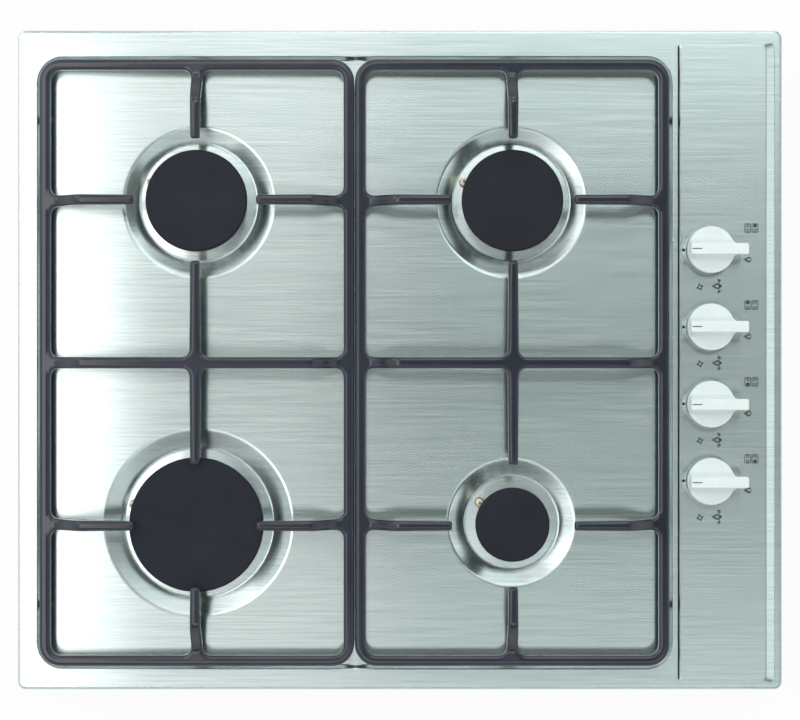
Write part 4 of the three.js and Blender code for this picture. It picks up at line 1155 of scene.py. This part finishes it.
# Start of the node's name, with its material and how much its edges are rounded
KEPT_NODES = {
    "burner_box": (GALVANISED, 0.3),
    "rim_seal": (FOAM, 0.3),
    "worktop_clamp": (GALVANISED, 0.2),
    "burner_cup": (ALUMINIUM, 0.3),
    "gas_pipe": (TUBE_ALUMINIUM, 0.1),
    "spindle": (GALVANISED, 0.1),
    "tap_plug": (BRASS, 0.2),
    "gas_tap": (BRASS, 0.3),
    "gas_rail": (GALVANISED, 0.2),
    "gas_inlet": (BRASS, 0.3),
    "ignition_switch_strip": (PALE_PLASTIC, 0.3),
    "spark_generator": (DARK_PLASTIC, 0.5),
    "cable_gland": (DARK_PLASTIC, 0.3),
    "terminal_block": (PALE_PLASTIC, 0.4),
}
WELD_DISTANCE = 0.01
BEVEL_ANGLE = 40


def soften(node, width, material):
    """A CAD node as it is, with its edges slightly rounded and its own material."""
    weld = node.modifiers.new("weld", "WELD")
    weld.merge_threshold = WELD_DISTANCE * MM
    bevel = node.modifiers.new("edges", "BEVEL")
    bevel.width = width * MM
    bevel.segments = 2
    bevel.limit_method = "ANGLE"
    bevel.angle_limit = math.radians(BEVEL_ANGLE)
    bevel.harden_normals = False
    if not node.data.materials:
        node.data.materials.append(material)
    for slot in node.material_slots:
        slot.material = material


def dress_kept_nodes():
    for name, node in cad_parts.items():
        for prefix, (material, width) in KEPT_NODES.items():
            if name.startswith(prefix):
                soften(node, width, material)


# ---------- Floor, light and camera ----------

# The floor lies just under the burner box
FLOOR_REACH = 20000.0
FLOOR_Z = -0.6
FLOOR_GLOW = 0.94

# The sky by the sine of its elevation: bright from the horizon up, nearly dark overhead
SKY_LOW = 0.68
SKY_HIGH = 0.8
SKY_BRIGHT = 0.92
SKY_DARK = 0.03

# Level softboxes over the hob: where each starts and ends across and along it, in metres, how
# bright it is and the share of green and blue that it lacks
SOFTBOX_Z = 3.0
WARM = 0.07
OVERHEAD_LIGHTS = {
    "softbox_left": {"across": (-1.5, -0.65), "along": (-1.02, 0.94), "brightness": 3.2, "warmth": WARM},
    "softbox_far_left": {"across": (-2.7, -1.5), "along": (-1.6, 1.4), "brightness": 0.7},
    "softbox_rear_left": {"across": (-0.65, 0.0), "along": (0.7, 1.3), "brightness": 3.4, "warmth": WARM},
    "softbox_rear_right": {"across": (0.0, 1.21), "along": (0.85, 1.5), "brightness": 3.4},
    "softbox_rear_far": {"across": (-0.54, 1.35), "along": (2.36, 3.06), "brightness": 5.5},
    "softbox_middle_left": {
        "across": (-0.65, -0.17), "along": (-0.68, 0.67), "brightness": 0.35, "warmth": WARM},
    "softbox_front_left": {
        "across": (-0.65, 0.0), "along": (-1.28, -0.68), "brightness": 2.6, "warmth": WARM},
    "softbox_front_right": {"across": (0.0, 1.15), "along": (-1.3, -0.72), "brightness": 2.3},
    "softbox_right": {"across": (1.8, 2.15), "along": (-1.6, 1.6), "brightness": 1.5},
}
KEY_PLACE = (-1.9, 1.5, 2.0)
KEY_SIZE = (2.2, 2.0)
KEY_BRIGHTNESS = 1.3

# The camera looks straight down from a height above the rim, where its frame is this wide
FRAME_WIDTH = 607.0
CAMERA_HEIGHT = 1500.0
SENSOR = 36.0


def make_floor():
    """A pale floor that gives off most of its own white where the camera or gloss sees it."""
    skin = Skin()
    corners = ((1, 1), (-1, 1), (-1, -1), (1, -1))
    skin.mesh.faces.new(skin.ring([(x * FLOOR_REACH, y * FLOOR_REACH, FLOOR_Z) for x, y in corners]))
    floor = skin.piece("floor")
    look = Look("floor", Roughness=0.9, Base_Color=srgb(236, 236, 234))
    path = look.node("ShaderNodeLightPath").outputs
    white = look.node("ShaderNodeEmission", {"Color": (1, 1, 1, 1), "Strength": 1.0})
    seen = look.combined("ADD", path["Is Camera Ray"], path["Is Glossy Ray"])
    share = look.combined("MULTIPLY", seen, FLOOR_GLOW)
    mix = look.node("ShaderNodeMixShader", {
        0: share, 1: look.surface.outputs["BSDF"], 2: white.outputs["Emission"]})
    output = look.tree.nodes["Material Output"]
    look.tree.links.new(mix.outputs["Shader"], output.inputs["Surface"])
    floor.data.materials.append(look.material)


def make_world():
    """A studio glow round the hob that fades out overhead, and plain white behind it."""
    world = bpy.data.worlds.new("studio")
    bpy.context.scene.world = world
    world.use_nodes = True
    tree = world.node_tree
    background = tree.nodes["Background"]
    background.inputs["Color"].default_value = (1, 1, 1, 1)
    direction = add_node(tree, "ShaderNodeTexCoord").outputs["Generated"]
    height = add_node(tree, "ShaderNodeSeparateXYZ", {"Vector": direction}).outputs["Z"]
    fade = map_range(height, SKY_LOW, SKY_HIGH, SKY_BRIGHT, SKY_DARK)
    glow = add_node(tree, "ShaderNodeMapRange", fade).outputs["Result"]
    path = add_node(tree, "ShaderNodeLightPath").outputs
    strength = add_node(
        tree, "ShaderNodeMath", {0: glow, 1: path["Is Camera Ray"]}, operation="MAXIMUM")
    tree.links.new(strength.outputs[0], background.inputs["Strength"])


def softbox(name, place, target, size, brightness, warmth=0.0):
    """A softbox aimed from its place at a target; its brightness is what a mirror would show."""
    light = bpy.data.lights.new(name, "AREA")
    light.shape = "RECTANGLE"
    light.color = (1.0, 1.0 - warmth, 1.0 - warmth)
    light.size, light.size_y = size
    light.energy = brightness * math.pi * light.size * light.size_y
    lamp = add_object(name, light)
    lamp.location = place
    lamp.rotation_euler = (Vector(target) - Vector(place)).to_track_quat("-Z", "Y").to_euler()


def overhead(name, across, along, brightness, warmth=0.0):
    """A level softbox over the hob, between two places across it and two along it."""
    middle = (sum(across) / 2, sum(along) / 2)
    size = (across[1] - across[0], along[1] - along[0])
    softbox(name, (*middle, SOFTBOX_Z), (*middle, 0.0), size, brightness, warmth)


def make_lights():
    for name, settings in OVERHEAD_LIGHTS.items():
        overhead(name, **settings)
    softbox("softbox_key", KEY_PLACE, (0.0, 0.0, 0.0), KEY_SIZE, KEY_BRIGHTNESS)


def make_camera():
    data = bpy.data.cameras.new("camera")
    data.sensor_width = SENSOR
    data.lens = SENSOR * CAMERA_HEIGHT / FRAME_WIDTH
    camera = add_object("camera", data)
    camera.location = Vector((0.0, 0.0, RIM_Z + CAMERA_HEIGHT)) * MM
    bpy.context.scene.camera = camera


# ---------- Everything together ----------

make_camera()
make_world()
make_lights()
make_floor()
dress_kept_nodes()
make_hob_top()
make_painted_shade_line()
for support_side in ("left", "right"):
    make_support(support_side)
knob_mesh = knob_shape()
for burner in BURNERS:
    make_cap(burner)
    make_head(burner)
    make_electrode(burner)
    make_knob(burner, knob_mesh)
    make_signs(burner)

bpy.context.scene.view_settings.view_transform = "Standard"
bpy.context.view_layer.update()
